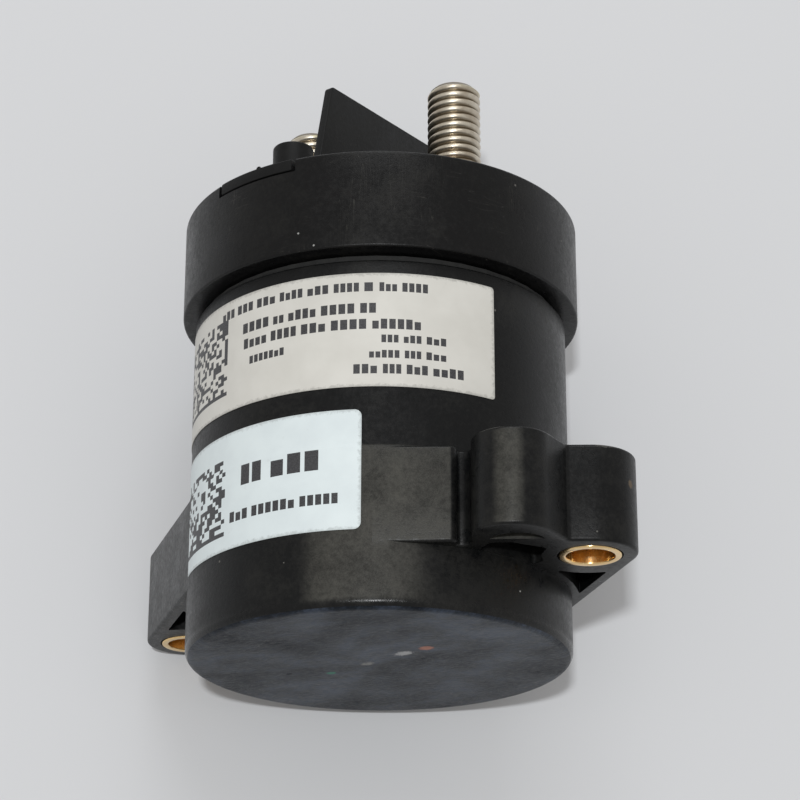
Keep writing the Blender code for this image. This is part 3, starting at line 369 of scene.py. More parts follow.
def makePaper(name, look):
    # Label stock: the UV map holds the place on the label in millimetres
    material, tree, shader = newMaterial(name)
    place = addNode(tree, "ShaderNodeUVMap", uv_map="labelPlace").outputs[0]
    across = addNode(tree, "ShaderNodeSeparateXYZ", {"Vector": place}).outputs
    fibres = noise(tree, place, 1.6, 5, 0.7)
    cloud = noise(tree, place, 0.16, 3)
    colour = mixColour(tree, remap(tree, cloud, 0.3, 0.7, smooth=True), look["paper"], look["shade"])
    toEnd = calc(tree, "SUBTRACT", look["length"], across[0])
    toTop = calc(tree, "SUBTRACT", look["height"], across[1])
    nearest = calc(tree, "MINIMUM", calc(tree, "MINIMUM", toEnd, toTop), across[1])
    soiled = calc(tree, "ADD", nearest, remap(tree, fibres, 0.3, 0.7, -0.35, 0.35))
    edge = remap(tree, soiled, 0.0, 0.55, look["grime"], 0.0, smooth=True)
    colour = mixColour(tree, edge, colour, (0.1, 0.095, 0.085))
    smudge = remap(tree, noise(tree, place, 0.55, 4, 0.7), 0.62, 0.8, 0, 0.2, smooth=True)
    colour = mixColour(tree, smudge, colour, (0.36, 0.34, 0.31))
    for tear in look.get("tears", []):
        mask = tearMask(tree, place, tear)
        colour = mixColour(tree, mask, colour, tear["colour"])
    setShader(shader, colour=colour, roughness=look["roughness"], specular=0.5)
    rise = calc(tree, "ADD", cloud, calc(tree, "MULTIPLY", fibres, 0.12))
    setShader(shader, normal=bump(tree, rise, 0.00012, 0.5))
    return material


def makeInk():
    material, tree, shader = newMaterial("labelInk")
    place = addNode(tree, "ShaderNodeUVMap", uv_map="labelPlace").outputs[0]
    cover = remap(tree, noise(tree, place, 5, 3, 0.7), 0.3, 0.75, smooth=True)
    colour = mixColour(tree, cover, (0.018, 0.018, 0.02), (0.075, 0.075, 0.08))
    setShader(shader, colour=colour, roughness=0.45)
    return material


labelInk = makeInk()
print("materials ready")


# Mesh helpers

def keep(mesh, name, material=None):
    piece = bpy.data.objects.new(name, mesh)
    bpy.context.scene.collection.objects.link(piece)
    if material is not None:
        mesh.materials.clear()
        mesh.materials.append(material)
    return piece


def fromBmesh(shape, name, material=None):
    mesh = bpy.data.meshes.new(name)
    shape.to_mesh(mesh)
    shape.free()
    return keep(mesh, name, material)


def roundCorner(centre, radius, start, end, steps=6):
    # Profile points of a quarter turn, by its centre and angles in degrees
    return [
        (centre[0] + radius * cos(radians(start + (end - start) * i / steps)),
         centre[1] + radius * sin(radians(start + (end - start) * i / steps)))
        for i in range(steps + 1)
    ]


def lathe(name, profile, sides, material=None, centre=(0, 0)):
    # The profile is (radius, height) pairs; unless it starts on the axis its ends are joined
    shape = bmesh.new()
    rings = []
    for radius, height in profile:
        if radius < 1e-7:
            rings.append([shape.verts.new((centre[0], centre[1], height))])
        else:
            rings.append([
                shape.verts.new((centre[0] + radius * cos(2 * pi * i / sides),
                                 centre[1] + radius * sin(2 * pi * i / sides), height))
                for i in range(sides)
            ])
    pairs = list(zip(rings, rings[1:]))
    if len(rings[0]) > 1:
        pairs.append((rings[-1], rings[0]))
    for upper, lower in pairs:
        for i in range(sides):
            j = (i + 1) % sides
            if len(upper) == 1 and len(lower) == 1:
                continue
            if len(upper) == 1:
                shape.faces.new((upper[0], lower[i], lower[j]))
            elif len(lower) == 1:
                shape.faces.new((upper[i], lower[0], upper[j]))
            else:
                shape.faces.new((upper[i], lower[i], lower[j], upper[j]))
    bmesh.ops.recalc_face_normals(shape, faces=shape.faces)
    return fromBmesh(shape, name, material)


def ball(name, centre, radii):
    shape = bmesh.new()
    bmesh.ops.create_icosphere(shape, subdivisions=2, radius=1)
    bmesh.ops.scale(shape, vec=radii, verts=shape.verts)
    bmesh.ops.translate(shape, vec=centre, verts=shape.verts)
    return fromBmesh(shape, name)


def arcPoints(centre, radius, start, end, steps):
    return [
        (centre[0] + radius * cos(start + (end - start) * i / steps),
         centre[1] + radius * sin(start + (end - start) * i / steps))
        for i in range(steps + 1)
    ]


def prism(name, outline, bottom, top, material=None, roundTop=0.0, roundBottom=0.0):
    # An upright solid on an outline of (x, y) points, with its two rims rounded
    shape = bmesh.new()
    low = [shape.verts.new((x, y, bottom)) for x, y in outline]
    high = [shape.verts.new((x, y, top)) for x, y in outline]
    count = len(outline)
    shape.faces.new(list(reversed(low)))
    shape.faces.new(high)
    for i in range(count):
        j = (i + 1) % count
        shape.faces.new((low[i], low[j], high[j], high[i]))
    bmesh.ops.recalc_face_normals(shape, faces=shape.faces)
    for ring, radius in ((high, roundTop), (low, roundBottom)):
        if radius > 0:
            rim = set(ring)
            edges = [e for e in shape.edges if e.verts[0] in rim and e.verts[1] in rim]
            bmesh.ops.bevel(shape, geom=edges, offset=radius, offset_type="OFFSET", segments=4,
                            profile=0.5, affect="EDGES", clamp_overlap=False)
    return fromBmesh(shape, name, material)


def easeCorners(outline, reach, step=0.0002):
    # Draws the sharp corners of a closed outline as short curves
    points = []
    sharp = []
    count = len(outline)
    for i in range(count):
        here, after = Vector(outline[i]), Vector(outline[(i + 1) % count])
        before = Vector(outline[i - 1])
        if (here - before).angle(after - here) > radians(35):
            sharp.append(len(points))
        parts = max(1, round((after - here).length / step))
        points += [here.lerp(after, k / parts) for k in range(parts)]
    total = len(points)
    half = round(reach / step)
    eased = dict(enumerate(points))
    for corner in sharp:
        first, tip, last = points[corner - half], points[corner], points[(corner + half) % total]
        for k in range(-half, half + 1):
            part = (k + half) / (2 * half)
            eased[(corner + k) % total] = (first * (1 - part) ** 2 + tip * (2 * part * (1 - part))
                                           + last * part ** 2)
    return [(eased[i].x, eased[i].y) for i in range(total)]


def boolean(piece, other, operation):
    change = piece.modifiers.new(operation.lower(), "BOOLEAN")
    change.operation = operation
    change.solver = "EXACT"
    change.object = other
    applyModifiers(piece)
    bpy.data.objects.remove(other, do_unlink=True)
    return piece


def applyModifiers(piece):
    bpy.context.view_layer.update()
    depsgraph = bpy.context.evaluated_depsgraph_get()
    mesh = bpy.data.meshes.new_from_object(piece.evaluated_get(depsgraph))
    piece.modifiers.clear()
    old = piece.data
    piece.data = mesh
    mesh.name = old.name
    bpy.data.meshes.remove(old)
    return piece


def smooth(piece, degrees=30):
    piece.data.shade_smooth()
    piece.data.set_sharp_from_angle(angle=radians(degrees))
    return piece


# Housing

housing = {
    "radius": 0.0275, "step": 0.00014, "height": 0.05036, "bore": 0.0258, "floor": 0.0018,
    "footRound": 0.0013, "rimRound": 0.00025, "sides": 256,
    "flangeBottom": 0.0091, "flangeTop": 0.0228, "flangeRound": 0.00045,
    "earX": 0.036, "earRadius": 0.0065, "seatRadius": 0.0045,
    "glandPlace": 0.0187, "glandStand": 0.0018, "glandRadius": 0.0055, "glandSlope": 30, "glandFillet": 0.0008,
    "groovePlace": 0.0113, "grooveDepth": 0.0022, "grooveSoft": 0.0013, "padRound": 0.001, "edge": 0.00045,
    "overshoot": 0.001, "seatTop": 0.024, "seatLow": 0.008, "cavityTop": 0.03, "cavityLow": 0.004,
    "slotRadius": 0.0039, "slotWidth": 0.0026, "slotStand": 0.0035, "slotShift": 0.0006, "slotRoof": 0.0203,
    "pocketRoof": 0.0166, "pocketEase": 0.0007,
}
plainPocket = {"tipWall": 0.0017, "endWall": 0.0017, "lip": 0.0011, "boss": 0.0077, "end": 0.003}
glandPocket = {"tipWall": 0.0032, "endWall": 0.0036, "lip": 0.0003, "boss": 0.0066, "end": 0.0016,
               "shoulderWall": 0.0006, "shoulder": 0.0031}
wallAngle = acos((housing["radius"] - housing["earRadius"]) / housing["earX"])
wallNormal = Vector((cos(-wallAngle), sin(-wallAngle)))
wallAlong = Vector((sin(wallAngle), cos(wallAngle)))


def onWall(along, out):
    point = wallNormal * (housing["radius"] + out) + wallAlong * along
    return (point.x, point.y)


def wallArc(along, out, radius, start, end, steps=5):
    return [onWall(a, o) for a, o in roundCorner((along, out), radius, start, end, steps)]


def flangeOutline():
    h = housing
    inner = (h["radius"] + h["bore"]) / 2
    near = h["groovePlace"]
    far = h["glandPlace"] - h["glandRadius"]
    deep, e, pad = h["grooveDepth"], h["edge"], h["padRound"]
    slope = h["glandSlope"]
    fillet = h["glandFillet"]
    outline = [onWall(0, 0)]
    outline += wallArc(near - pad, -pad, pad, 90, 0, 8)
    outline += wallArc(near + e, -deep + e, e, 180, 270)
    soft = h["grooveSoft"]
    outline += wallArc(far - soft, -deep + soft, soft, 270, 360, 8)
    outline += wallArc(h["glandPlace"], h["glandStand"], h["glandRadius"], 180, slope, 44)
    lean = tan(radians(slope))
    crest = h["glandRadius"] * sin(radians(slope)) + h["glandStand"]
    foot = h["glandPlace"] + h["glandRadius"] * cos(radians(slope)) + crest * lean
    outline += wallArc(foot + fillet * lean, fillet, fillet, 180 + slope, 270, 6)
    outline += arcPoints((h["earX"], 0), h["earRadius"], -wallAngle, wallAngle, 40)
    outline += [(h["radius"] * cos(wallAngle), h["radius"] * sin(wallAngle))]
    outline += arcPoints((0, 0), inner, wallAngle, pi - wallAngle, 30)
    outline += [(h["radius"] * cos(pi - wallAngle), h["radius"] * sin(pi - wallAngle))]
    outline += arcPoints((-h["earX"], 0), h["earRadius"], pi - wallAngle, pi + wallAngle, 40)
    outline += [(h["radius"] * cos(pi + wallAngle), h["radius"] * sin(pi + wallAngle))]
    outline += arcPoints((0, 0), inner, pi + wallAngle, 2 * pi - wallAngle, 30)
    return outline


def pocketOutline(pocket):
    # The hollow on the +Y side of the right ear
    h = housing
    body = h["radius"] + pocket["lip"]
    boss = pocket["boss"]
    bodyStart = asin(pocket["end"] / body)
    bodyEnd = wallAngle - acos((h["radius"] - pocket["endWall"]) / body)
    bossStart = wallAngle + acos((h["radius"] - pocket["tipWall"] - h["earX"] * cos(wallAngle)) / boss)
    bossEnd = pi - asin(pocket["end"] / boss)
    return (arcPoints((h["earX"], 0), boss, bossStart, bossEnd, 20)
            + arcPoints((0, 0), body, bodyStart, bodyEnd, 24))


def slotOutline():
    h = housing
    half = acos((h["slotRadius"] - h["slotWidth"]) / h["slotRadius"])
    outline = []
    for i in range(25):
        angle = -half + 2 * half * i / 24
        along = h["glandPlace"] + h["slotShift"] - h["slotRadius"] * sin(angle)
        out = h["slotStand"] + h["slotRadius"] * cos(angle) - h["slotRadius"]
        outline.append(onWall(along, out))
    return outline


def makeHousing():
    h = housing
    barrel = h["radius"] - h["step"]
    rim = h["rimRound"]
    foot = h["footRound"]
    profile = [(h["bore"], h["height"])]
    profile += roundCorner((barrel - rim, h["height"] - rim), rim, 90, 0, 4)
    profile += [(barrel, 0.04), (barrel, 0.03), (barrel, h["flangeTop"] + 0.00012)]
    profile += [(h["radius"] - 0.00004, h["flangeTop"] + 0.00004), (h["radius"], h["flangeTop"] - 0.0001)]
    profile += [(h["radius"], 0.015), (h["radius"], 0.008)]
    profile += roundCorner((h["radius"] - foot, foot), foot, 0, -90, 10)
    profile += [(0.02, 0), (0, 0)]
    inside = [(0, h["floor"]), (h["bore"], h["floor"])]
    shell = lathe("housingShell", profile + inside, h["sides"], housingPlastic)

    flange = prism("flange", flangeOutline(), h["flangeBottom"], h["flangeTop"], housingPlastic,
                   h["flangeRound"], h["flangeRound"])
    reach, high, low = h["bore"] + 0.0001, h["cavityTop"], h["cavityLow"]
    cavity = lathe("cavity", [(0, high), (reach, high), (reach, low), (0, low)], 96)
    boolean(flange, cavity, "DIFFERENCE")
    boolean(shell, flange, "UNION")

    plain = pocketOutline(plainPocket)
    gland = [(x, -y) for x, y in reversed(pocketOutline(glandPocket))]
    for along in (h["glandPlace"], h["glandPlace"] - glandPocket["shoulder"]):
        gland.append(onWall(along, -glandPocket["shoulderWall"]))
    for outline in (plain, gland):
        eased = easeCorners(outline, h["pocketEase"])
        for turned in (eased, [(-x, -y) for x, y in eased]):
            pocket = prism("pocket", turned, h["flangeBottom"] - h["overshoot"], h["pocketRoof"])
            boolean(shell, pocket, "DIFFERENCE")
    for side in (1, -1):
        reach, high, low = h["seatRadius"], h["seatTop"], h["seatLow"]
        seat = lathe("seat", [(0, high), (reach, high), (reach, low), (0, low)], 64, centre=(side * h["earX"], 0))
        boolean(shell, seat, "DIFFERENCE")
    boolean(shell, prism("slot", slotOutline(), h["flangeBottom"] - h["overshoot"], h["slotRoof"]), "DIFFERENCE")
    shell.data.materials.clear()
    shell.data.materials.append(housingPlastic)
    shell.data.materials.append(footPlastic)
    for face in shell.data.polygons:
        low = all(shell.data.vertices[v].co.z < 0.0004 for v in face.vertices)
        face.material_index = 1 if low and face.normal.z < -0.7 else 0
    return smooth(shell, 32)


housingShell = makeHousing()
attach(housingShell, "case")
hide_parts("housing")
print("housing", len(housingShell.data.polygons))


# Cap and lid

cap = {
    "radius": 0.0293, "bottom": 0.05166, "top": 0.0664, "bore": 0.027, "floor": 0.002,
    "rimRound": 0.0005, "footRound": 0.0003, "sides": 256,
    "spigotOuter": 0.0255, "spigotInner": 0.024, "spigotLength": 0.0054,
    "notchWidth": 0.0144, "notchDepth": 0.00205, "notchTurn": -1,
}


def makeCap():
    c = cap
    rim = c["rimRound"]
    foot = c["footRound"]
    profile = roundCorner((c["bore"] + foot, c["top"] - foot), foot, 180, 90, 4)
    profile += roundCorner((c["radius"] - rim, c["top"] - rim), rim, 90, 0, 6)
    profile += [(c["radius"], 0.062), (c["radius"], 0.057)]
    profile += roundCorner((c["radius"] - foot, c["bottom"] + foot), foot, 0, -90, 4)
    profile += [(c["spigotOuter"], c["bottom"]), (c["spigotOuter"], c["bottom"] - c["spigotLength"]),
                (c["spigotInner"], c["bottom"] - c["spigotLength"]), (c["spigotInner"], c["bottom"] + c["floor"]),
                (c["bore"], c["bottom"] + c["floor"])]
    shell = lathe("capShell", profile, c["sides"], capPlastic)
    half = c["notchWidth"] / 2
    low = c["top"] - c["notchDepth"]
    notch = prism("notch", [(-half, -0.032), (half, -0.032), (half, -0.024), (-half, -0.024)], low, 0.07)
    notch.data.transform(Matrix.Rotation(radians(c["notchTurn"]), 4, "Z"))
    boolean(shell, notch, "DIFFERENCE")
    return smooth(shell, 32)


capShell = makeCap()
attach(capShell, "case")
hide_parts("top_cap")

lid = {
    "radius": 0.0267, "top": 0.0659, "bottom": 0.0629, "skirtBottom": 0.05396, "skirt": 0.0015,
    "tabWidth": 0.0132, "tabThickness": 0.00175, "tabInner": 0.0237,
    "finTop": 0.0865, "finCrown": 0.01305, "finFoot": 0.01725, "finThickness": 0.0014, "finRound": 0.0007,
    "bossRadius": 0.00295, "bossTop": 0.07285, "bossY": -0.021, "bossBore": 0.0019,
    "seatX": 0.013762, "seatHole": 0.0068, "edge": 0.0004, "rootDepth": 0.0024, "boreDepth": 0.0015,
    "nub": (0.0004, -0.0291, 0.06642), "nubRadii": (0.0004, 0.0002, 0.00028),
}


def turnUpright(piece):
    # An outline drawn flat as (y, z) and thickened along z stands up across x
    piece.data.transform(Matrix(((0, 0, 1, 0), (1, 0, 0, 0), (0, 1, 0, 0), (0, 0, 0, 1))))
    return piece


def cornerFillet(outline, radius, steps=5):
    # Rounds each corner of a flat outline that is not nearly straight
    rounded = []
    count = len(outline)
    for i, point in enumerate(outline):
        here = Vector(point)
        before = (Vector(outline[i - 1]) - here)
        after = (Vector(outline[(i + 1) % count]) - here)
        angle = before.angle(after)
        if angle > radians(170):
            rounded.append(point)
            continue
        reach = radius / sin(angle / 2) * cos(angle / 2)
        centre = here + (before.normalized() + after.normalized()).normalized() * radius / sin(angle / 2)
        first = here + before.normalized() * reach - centre
        last = here + after.normalized() * reach - centre
        for k in range(steps + 1):
            blend = first.slerp(last, k / steps)
            spot = centre + blend.normalized() * radius
            rounded.append((spot.x, spot.y))
    return rounded


def makeLid():
    p = lid
    edge = p["edge"]
    profile = [(0, p["top"]), (0.02, p["top"])]
    profile += roundCorner((p["radius"] - edge, p["top"] - edge), edge, 90, 0, 5)
    profile += [(p["radius"], p["skirtBottom"]), (p["radius"] - p["skirt"], p["skirtBottom"]),
                (p["radius"] - p["skirt"], p["bottom"]), (0, p["bottom"])]
    shell = lathe("lidShell", profile, 192, lidPlastic)

    halfAngle = asin(p["tabWidth"] / 2 / cap["radius"])
    tab = [(-p["tabWidth"] / 2, -p["tabInner"])]
    tab += arcPoints((0, 0), cap["radius"], -pi / 2 - halfAngle, -pi / 2 + halfAngle, 24)
    tab += [(p["tabWidth"] / 2, -p["tabInner"])]
    plate = prism("tab", tab, cap["top"] - p["tabThickness"], cap["top"], None, 0.00025, 0.00012)
    plate.data.transform(Matrix.Rotation(radians(cap["notchTurn"]), 4, "Z"))
    boolean(shell, plate, "UNION")
    boolean(shell, ball("nub", p["nub"], p["nubRadii"]), "UNION")

    foot, crown = p["finFoot"], p["finCrown"]
    root = p["top"] - p["rootDepth"]
    outline = [(-foot, root), (foot, root), (foot, p["top"]), (crown, p["finTop"]), (-crown, p["finTop"]),
               (-foot, p["top"])]
    half = p["finThickness"] / 2
    fin = prism("fin", cornerFillet(outline, p["finRound"]), -half, half, None, 0.0002, 0.0002)
    boolean(shell, turnUpright(fin), "UNION")

    boss = [(0, p["bossTop"])]
    boss += roundCorner((p["bossRadius"] - edge, p["bossTop"] - edge), edge, 90, 0, 5)
    boss += [(p["bossRadius"], root), (0, root)]
    boolean(shell, lathe("boss", boss, 64, centre=(0, p["bossY"])), "UNION")
    high, low = p["bossTop"] - p["boreDepth"], 0.062
    bore = [(0, high), (p["bossBore"], high), (p["bossBore"], low), (0, low)]
    boolean(shell, lathe("bore", bore, 32, centre=(0, p["bossY"])), "DIFFERENCE")
    for side in (1, -1):
        hole = [(0, 0.068), (p["seatHole"], 0.068), (p["seatHole"], 0.062), (0, 0.062)]
        boolean(shell, lathe("hole", hole, 64, centre=(side * p["seatX"], 0)), "DIFFERENCE")
    shell.data.materials.clear()
    shell.data.materials.append(lidPlastic)
    return smooth(shell, 32)


lidShell = makeLid()
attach(lidShell, "case")
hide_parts("terminal_plate")
print("cap and lid", len(capShell.data.polygons), len(lidShell.data.polygons))


# Bushings

bushing = {"radius": 0.0043, "bore": 0.0033, "bottom": 0.0089, "top": 0.023, "lip": 0.00022, "x": 0.036}


def makeBushing(name, side):
    b = bushing
    lip = b["lip"]
    profile = roundCorner((b["bore"] + lip, b["top"] - lip), lip, 180, 90, 4)
    profile += roundCorner((b["radius"] - lip, b["top"] - lip), lip, 90, 0, 4)
    profile += roundCorner((b["radius"] - lip, b["bottom"] + lip), lip, 0, -90, 4)
    profile += roundCorner((b["bore"] + lip, b["bottom"] + lip), lip, 270, 180, 4)
    return smooth(lathe(name, profile, 96, brass, centre=(side * b["x"], 0)), 50)


for name, node, side in (("bushingRight", "bushing_right", 1), ("bushingLeft", "bushing_left", -1)):
    ring = makeBushing(name, side)
    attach(ring, "case")
    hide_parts(node)


# Threaded terminals, by Geometry Nodes

stud = {
    "radius": 0.00398, "depth": 0.00052, "pitch": 0.00125, "bottom": 0.0617, "top": 0.0869,
    "chamfer": 0.0009, "around": 72, "rowsPerTurn": 14, "x": lid["seatX"],
}


def threadTree():
    # A grid is wound round the axis: its rows climb one pitch a turn, so that
    # the crests and roots of the thread run along the rows
    tree = bpy.data.node_groups.new("studThread", "GeometryNodeTree")
    tree.is_modifier = True
    face = tree.interface
    face.new_socket("Geometry", in_out="OUTPUT", socket_type="NodeSocketGeometry")
    for label in ("Radius", "Thread Depth", "Pitch", "Length", "Chamfer"):
        face.new_socket(label, in_out="INPUT", socket_type="NodeSocketFloat")
    for label in ("Sides", "Rows"):
        face.new_socket(label, in_out="INPUT", socket_type="NodeSocketInt")
    face.new_socket("Material", in_out="INPUT", socket_type="NodeSocketMaterial")
    given = addNode(tree, "NodeGroupInput").outputs
    result = addNode(tree, "NodeGroupOutput")

    def value(operation, first, second=0.0, third=0.0):
        return addNode(tree, "ShaderNodeMath", {0: first, 1: second, 2: third}, operation=operation).outputs[0]

    grid = addNode(tree, "GeometryNodeMeshGrid", {
        "Size X": 1.0, "Size Y": 1.0, "Vertices X": value("ADD", given["Sides"], 1.0),
        "Vertices Y": value("ADD", given["Rows"], 1.0)})
    place = addNode(tree, "ShaderNodeSeparateXYZ", {0: addNode(tree, "GeometryNodeInputPosition").outputs[0]}).outputs
    around = value("ADD", place[0], 0.5)
    along = value("ADD", place[1], 0.5)
    reach = value("ADD", given["Length"], given["Pitch"])
    climb = value("SUBTRACT", value("MULTIPLY_ADD", along, reach, value("MULTIPLY", around, given["Pitch"])),
                  given["Pitch"])
    height = value("MINIMUM", value("MAXIMUM", climb, 0.0), given["Length"])
    phase = value("FRACT", value("DIVIDE", value("MULTIPLY", along, reach), given["Pitch"]))
    wave = value("ABSOLUTE", value("MULTIPLY_ADD", phase, 2.0, -1.0))
    flank = value("POWER", wave, 1.9)
    threaded = value("SUBTRACT", given["Radius"], value("MULTIPLY", flank, given["Thread Depth"]))
    blunt = value("SUBTRACT", given["Radius"], given["Chamfer"])
    upper = value("ADD", blunt, value("SUBTRACT", given["Length"], height))
    lower = value("ADD", blunt, height)
    radius = value("MINIMUM", threaded, value("MINIMUM", upper, lower))
    turn = value("MULTIPLY", around, 2 * pi)
    spot = addNode(tree, "ShaderNodeCombineXYZ", {
        0: value("MULTIPLY", radius, value("COSINE", turn)),
        1: value("MULTIPLY", radius, value("SINE", turn)), 2: height}).outputs[0]
    wound = addNode(tree, "GeometryNodeSetPosition", {"Geometry": grid.outputs[0], "Position": spot}).outputs[0]
    ends = []
    for level in (0.0, given["Length"]):
        disc = addNode(tree, "GeometryNodeMeshCircle", {"Vertices": given["Sides"], "Radius": blunt},
                       fill_type="NGON").outputs[0]
        shift = addNode(tree, "ShaderNodeCombineXYZ", {2: level}).outputs[0]
        ends.append(addNode(tree, "GeometryNodeTransform", {"Geometry": disc, "Translation": shift}).outputs[0])
    flipped = addNode(tree, "GeometryNodeFlipFaces", {0: ends[0]}).outputs[0]
    joined = addNode(tree, "GeometryNodeJoinGeometry")
    for part in (wound, flipped, ends[1]):
        tree.links.new(part, joined.inputs[0])
    merged = addNode(tree, "GeometryNodeMergeByDistance", {"Geometry": joined.outputs[0], "Distance": 0.000002})
    real = addNode(tree, "GeometryNodeRealizeInstances", {"Geometry": merged.outputs[0]})
    painted = addNode(tree, "GeometryNodeSetMaterial", {
        "Geometry": real.outputs[0], "Material": given["Material"]}).outputs[0]
    tree.links.new(painted, result.inputs[0])
    return tree


def runTree(name, tree, values):
    mesh = bpy.data.meshes.new(name)
    piece = keep(mesh, name)
    change = piece.modifiers.new("tree", "NODES")
    change.node_group = tree
    for item in tree.interface.items_tree:
        if item.item_type == "SOCKET" and item.in_out == "INPUT" and item.name in values:
            change[item.identifier] = values[item.name]
    return applyModifiers(piece)


def makeStud(name, tree, side):
    s = stud
    length = s["top"] - s["bottom"]
    turns = (length + s["pitch"]) / s["pitch"]
    piece = runTree(name, tree, {
        "Radius": s["radius"], "Thread Depth": s["depth"], "Pitch": s["pitch"], "Length": length,
        "Chamfer": s["chamfer"], "Sides": s["around"], "Rows": round(turns * s["rowsPerTurn"]),
        "Material": studSteel})
    piece.data.transform(Matrix.Translation((side * s["x"], 0, s["bottom"])))
    shape = bmesh.new()
    shape.from_mesh(piece.data)
    bmesh.ops.dissolve_degenerate(shape, dist=0.000001, edges=shape.edges)
    bmesh.ops.recalc_face_normals(shape, faces=shape.faces)
    shape.to_mesh(piece.data)
    shape.free()
    return smooth(piece, 40)


threads = threadTree()
for name, node, side in (("studRight", "stud_right", 1), ("studLeft", "stud_left", -1)):
    piece = makeStud(name, threads, side)
    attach(piece, "case")
    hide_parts(node)
    print(name, len(piece.data.polygons))


# Labels

upperLabel = {
    "name": "upperLabel", "low": 0.03141, "high": 0.0483, "end": -17.05, "start": -148.0, "corner": 0.0005,
    "paper": (0.66, 0.645, 0.6), "shade": (0.61, 0.595, 0.55), "roughness": 0.42, "grime": 0.35, "seed": 5,
    "code": {"left": -136.0, "right": -104.0, "low": 0.03409, "high": 0.04562, "cells": 20},
    "rows": [
        {"from": -107.0, "to": -38.0, "z": 0.04621, "tall": 0.00135, "words": 9},
        {"from": -97.0, "to": -53.0, "z": 0.04303, "tall": 0.0015, "words": 5},
        {"from": -96.5, "to": -40.0, "z": 0.04065, "tall": 0.0015, "words": 5},
        {"from": -52.0, "to": -32.5, "z": 0.03846, "tall": 0.00115, "words": 3},
        {"from": -94.0, "to": -81.0, "z": 0.03797, "tall": 0.00115, "words": 1},
        {"from": -55.5, "to": -32.5, "z": 0.03618, "tall": 0.00115, "words": 3},
        {"from": -60.0, "to": -27.0, "z": 0.03399, "tall": 0.0014, "words": 4},
    ],
    "tears": [{"middle": (11.2, 4.4), "half": (1.3, 0.8), "colour": (0.07, 0.065, 0.06), "strength": 0.85}],
}
lowerLabel = {
    "name": "lowerLabel", "low": 0.01093, "high": 0.02809, "end": -57.5, "start": -148.0, "corner": 0.001,
    "paper": (0.73, 0.8, 0.81), "shade": (0.68, 0.745, 0.76), "roughness": 0.45, "grime": 0.3, "seed": 8,
    "code": {"left": -132.0, "right": -103.0, "low": 0.01315, "high": 0.02437, "cells": 18},
    "rows": [
        {"from": -96.0, "to": -68.5, "z": 0.0211, "tall": 0.0029, "words": 2},
        {"from": -100.5, "to": -63.5, "z": 0.01544, "tall": 0.0015, "words": 3},
    ],
}


def wordMarks(label, dice):
    # Rows of small plain blocks in place of print, as (start, end, low, high)
    marks = []
    for row in label["rows"]:
        spaces = row["words"] - 1
        gap = 1.1 if row["tall"] < 0.002 else 2.4
        room = row["to"] - row["from"] - spaces * gap
        shares = [dice.uniform(0.6, 1.6) for _ in range(row["words"])]
        place = row["from"]
        for share in shares:
            width = room * share / sum(shares)
            letters = max(1, round(width * label["degree"] / (0.78 * row["tall"])))
            pitch = width / letters
            for i in range(letters):
                high = row["tall"] * dice.choice((1.0, 1.0, 0.8))
                low = row["z"] - row["tall"] / 2
                marks.append((place + i * pitch, place + (i + 0.76) * pitch, low, low + high))
            place += width + gap
    return marks


def codeMarks(label, dice):
    # A square of random cells, the size of the printed field
    code = label["code"]
    count = code["cells"]
    wide = (code["right"] - code["left"]) / count
    tall = (code["high"] - code["low"]) / count
    marks = []
    for i in range(count):
        for j in range(count):
            border = i == 0 or j == 0
            if border or dice.random() < 0.47:
                start = code["left"] + i * wide
                low = code["low"] + j * tall
                marks.append((start, start + wide, low, low + tall))
    return marks


def labelRadius(z):
    # The barrel is a hair slimmer above the flange, and the label follows it
    blend = min(max((z - (housing["flangeTop"] - 0.0002)) / 0.0006, 0), 1)
    return housing["radius"] - housing["step"] * blend * blend * (3 - 2 * blend) + 0.00003


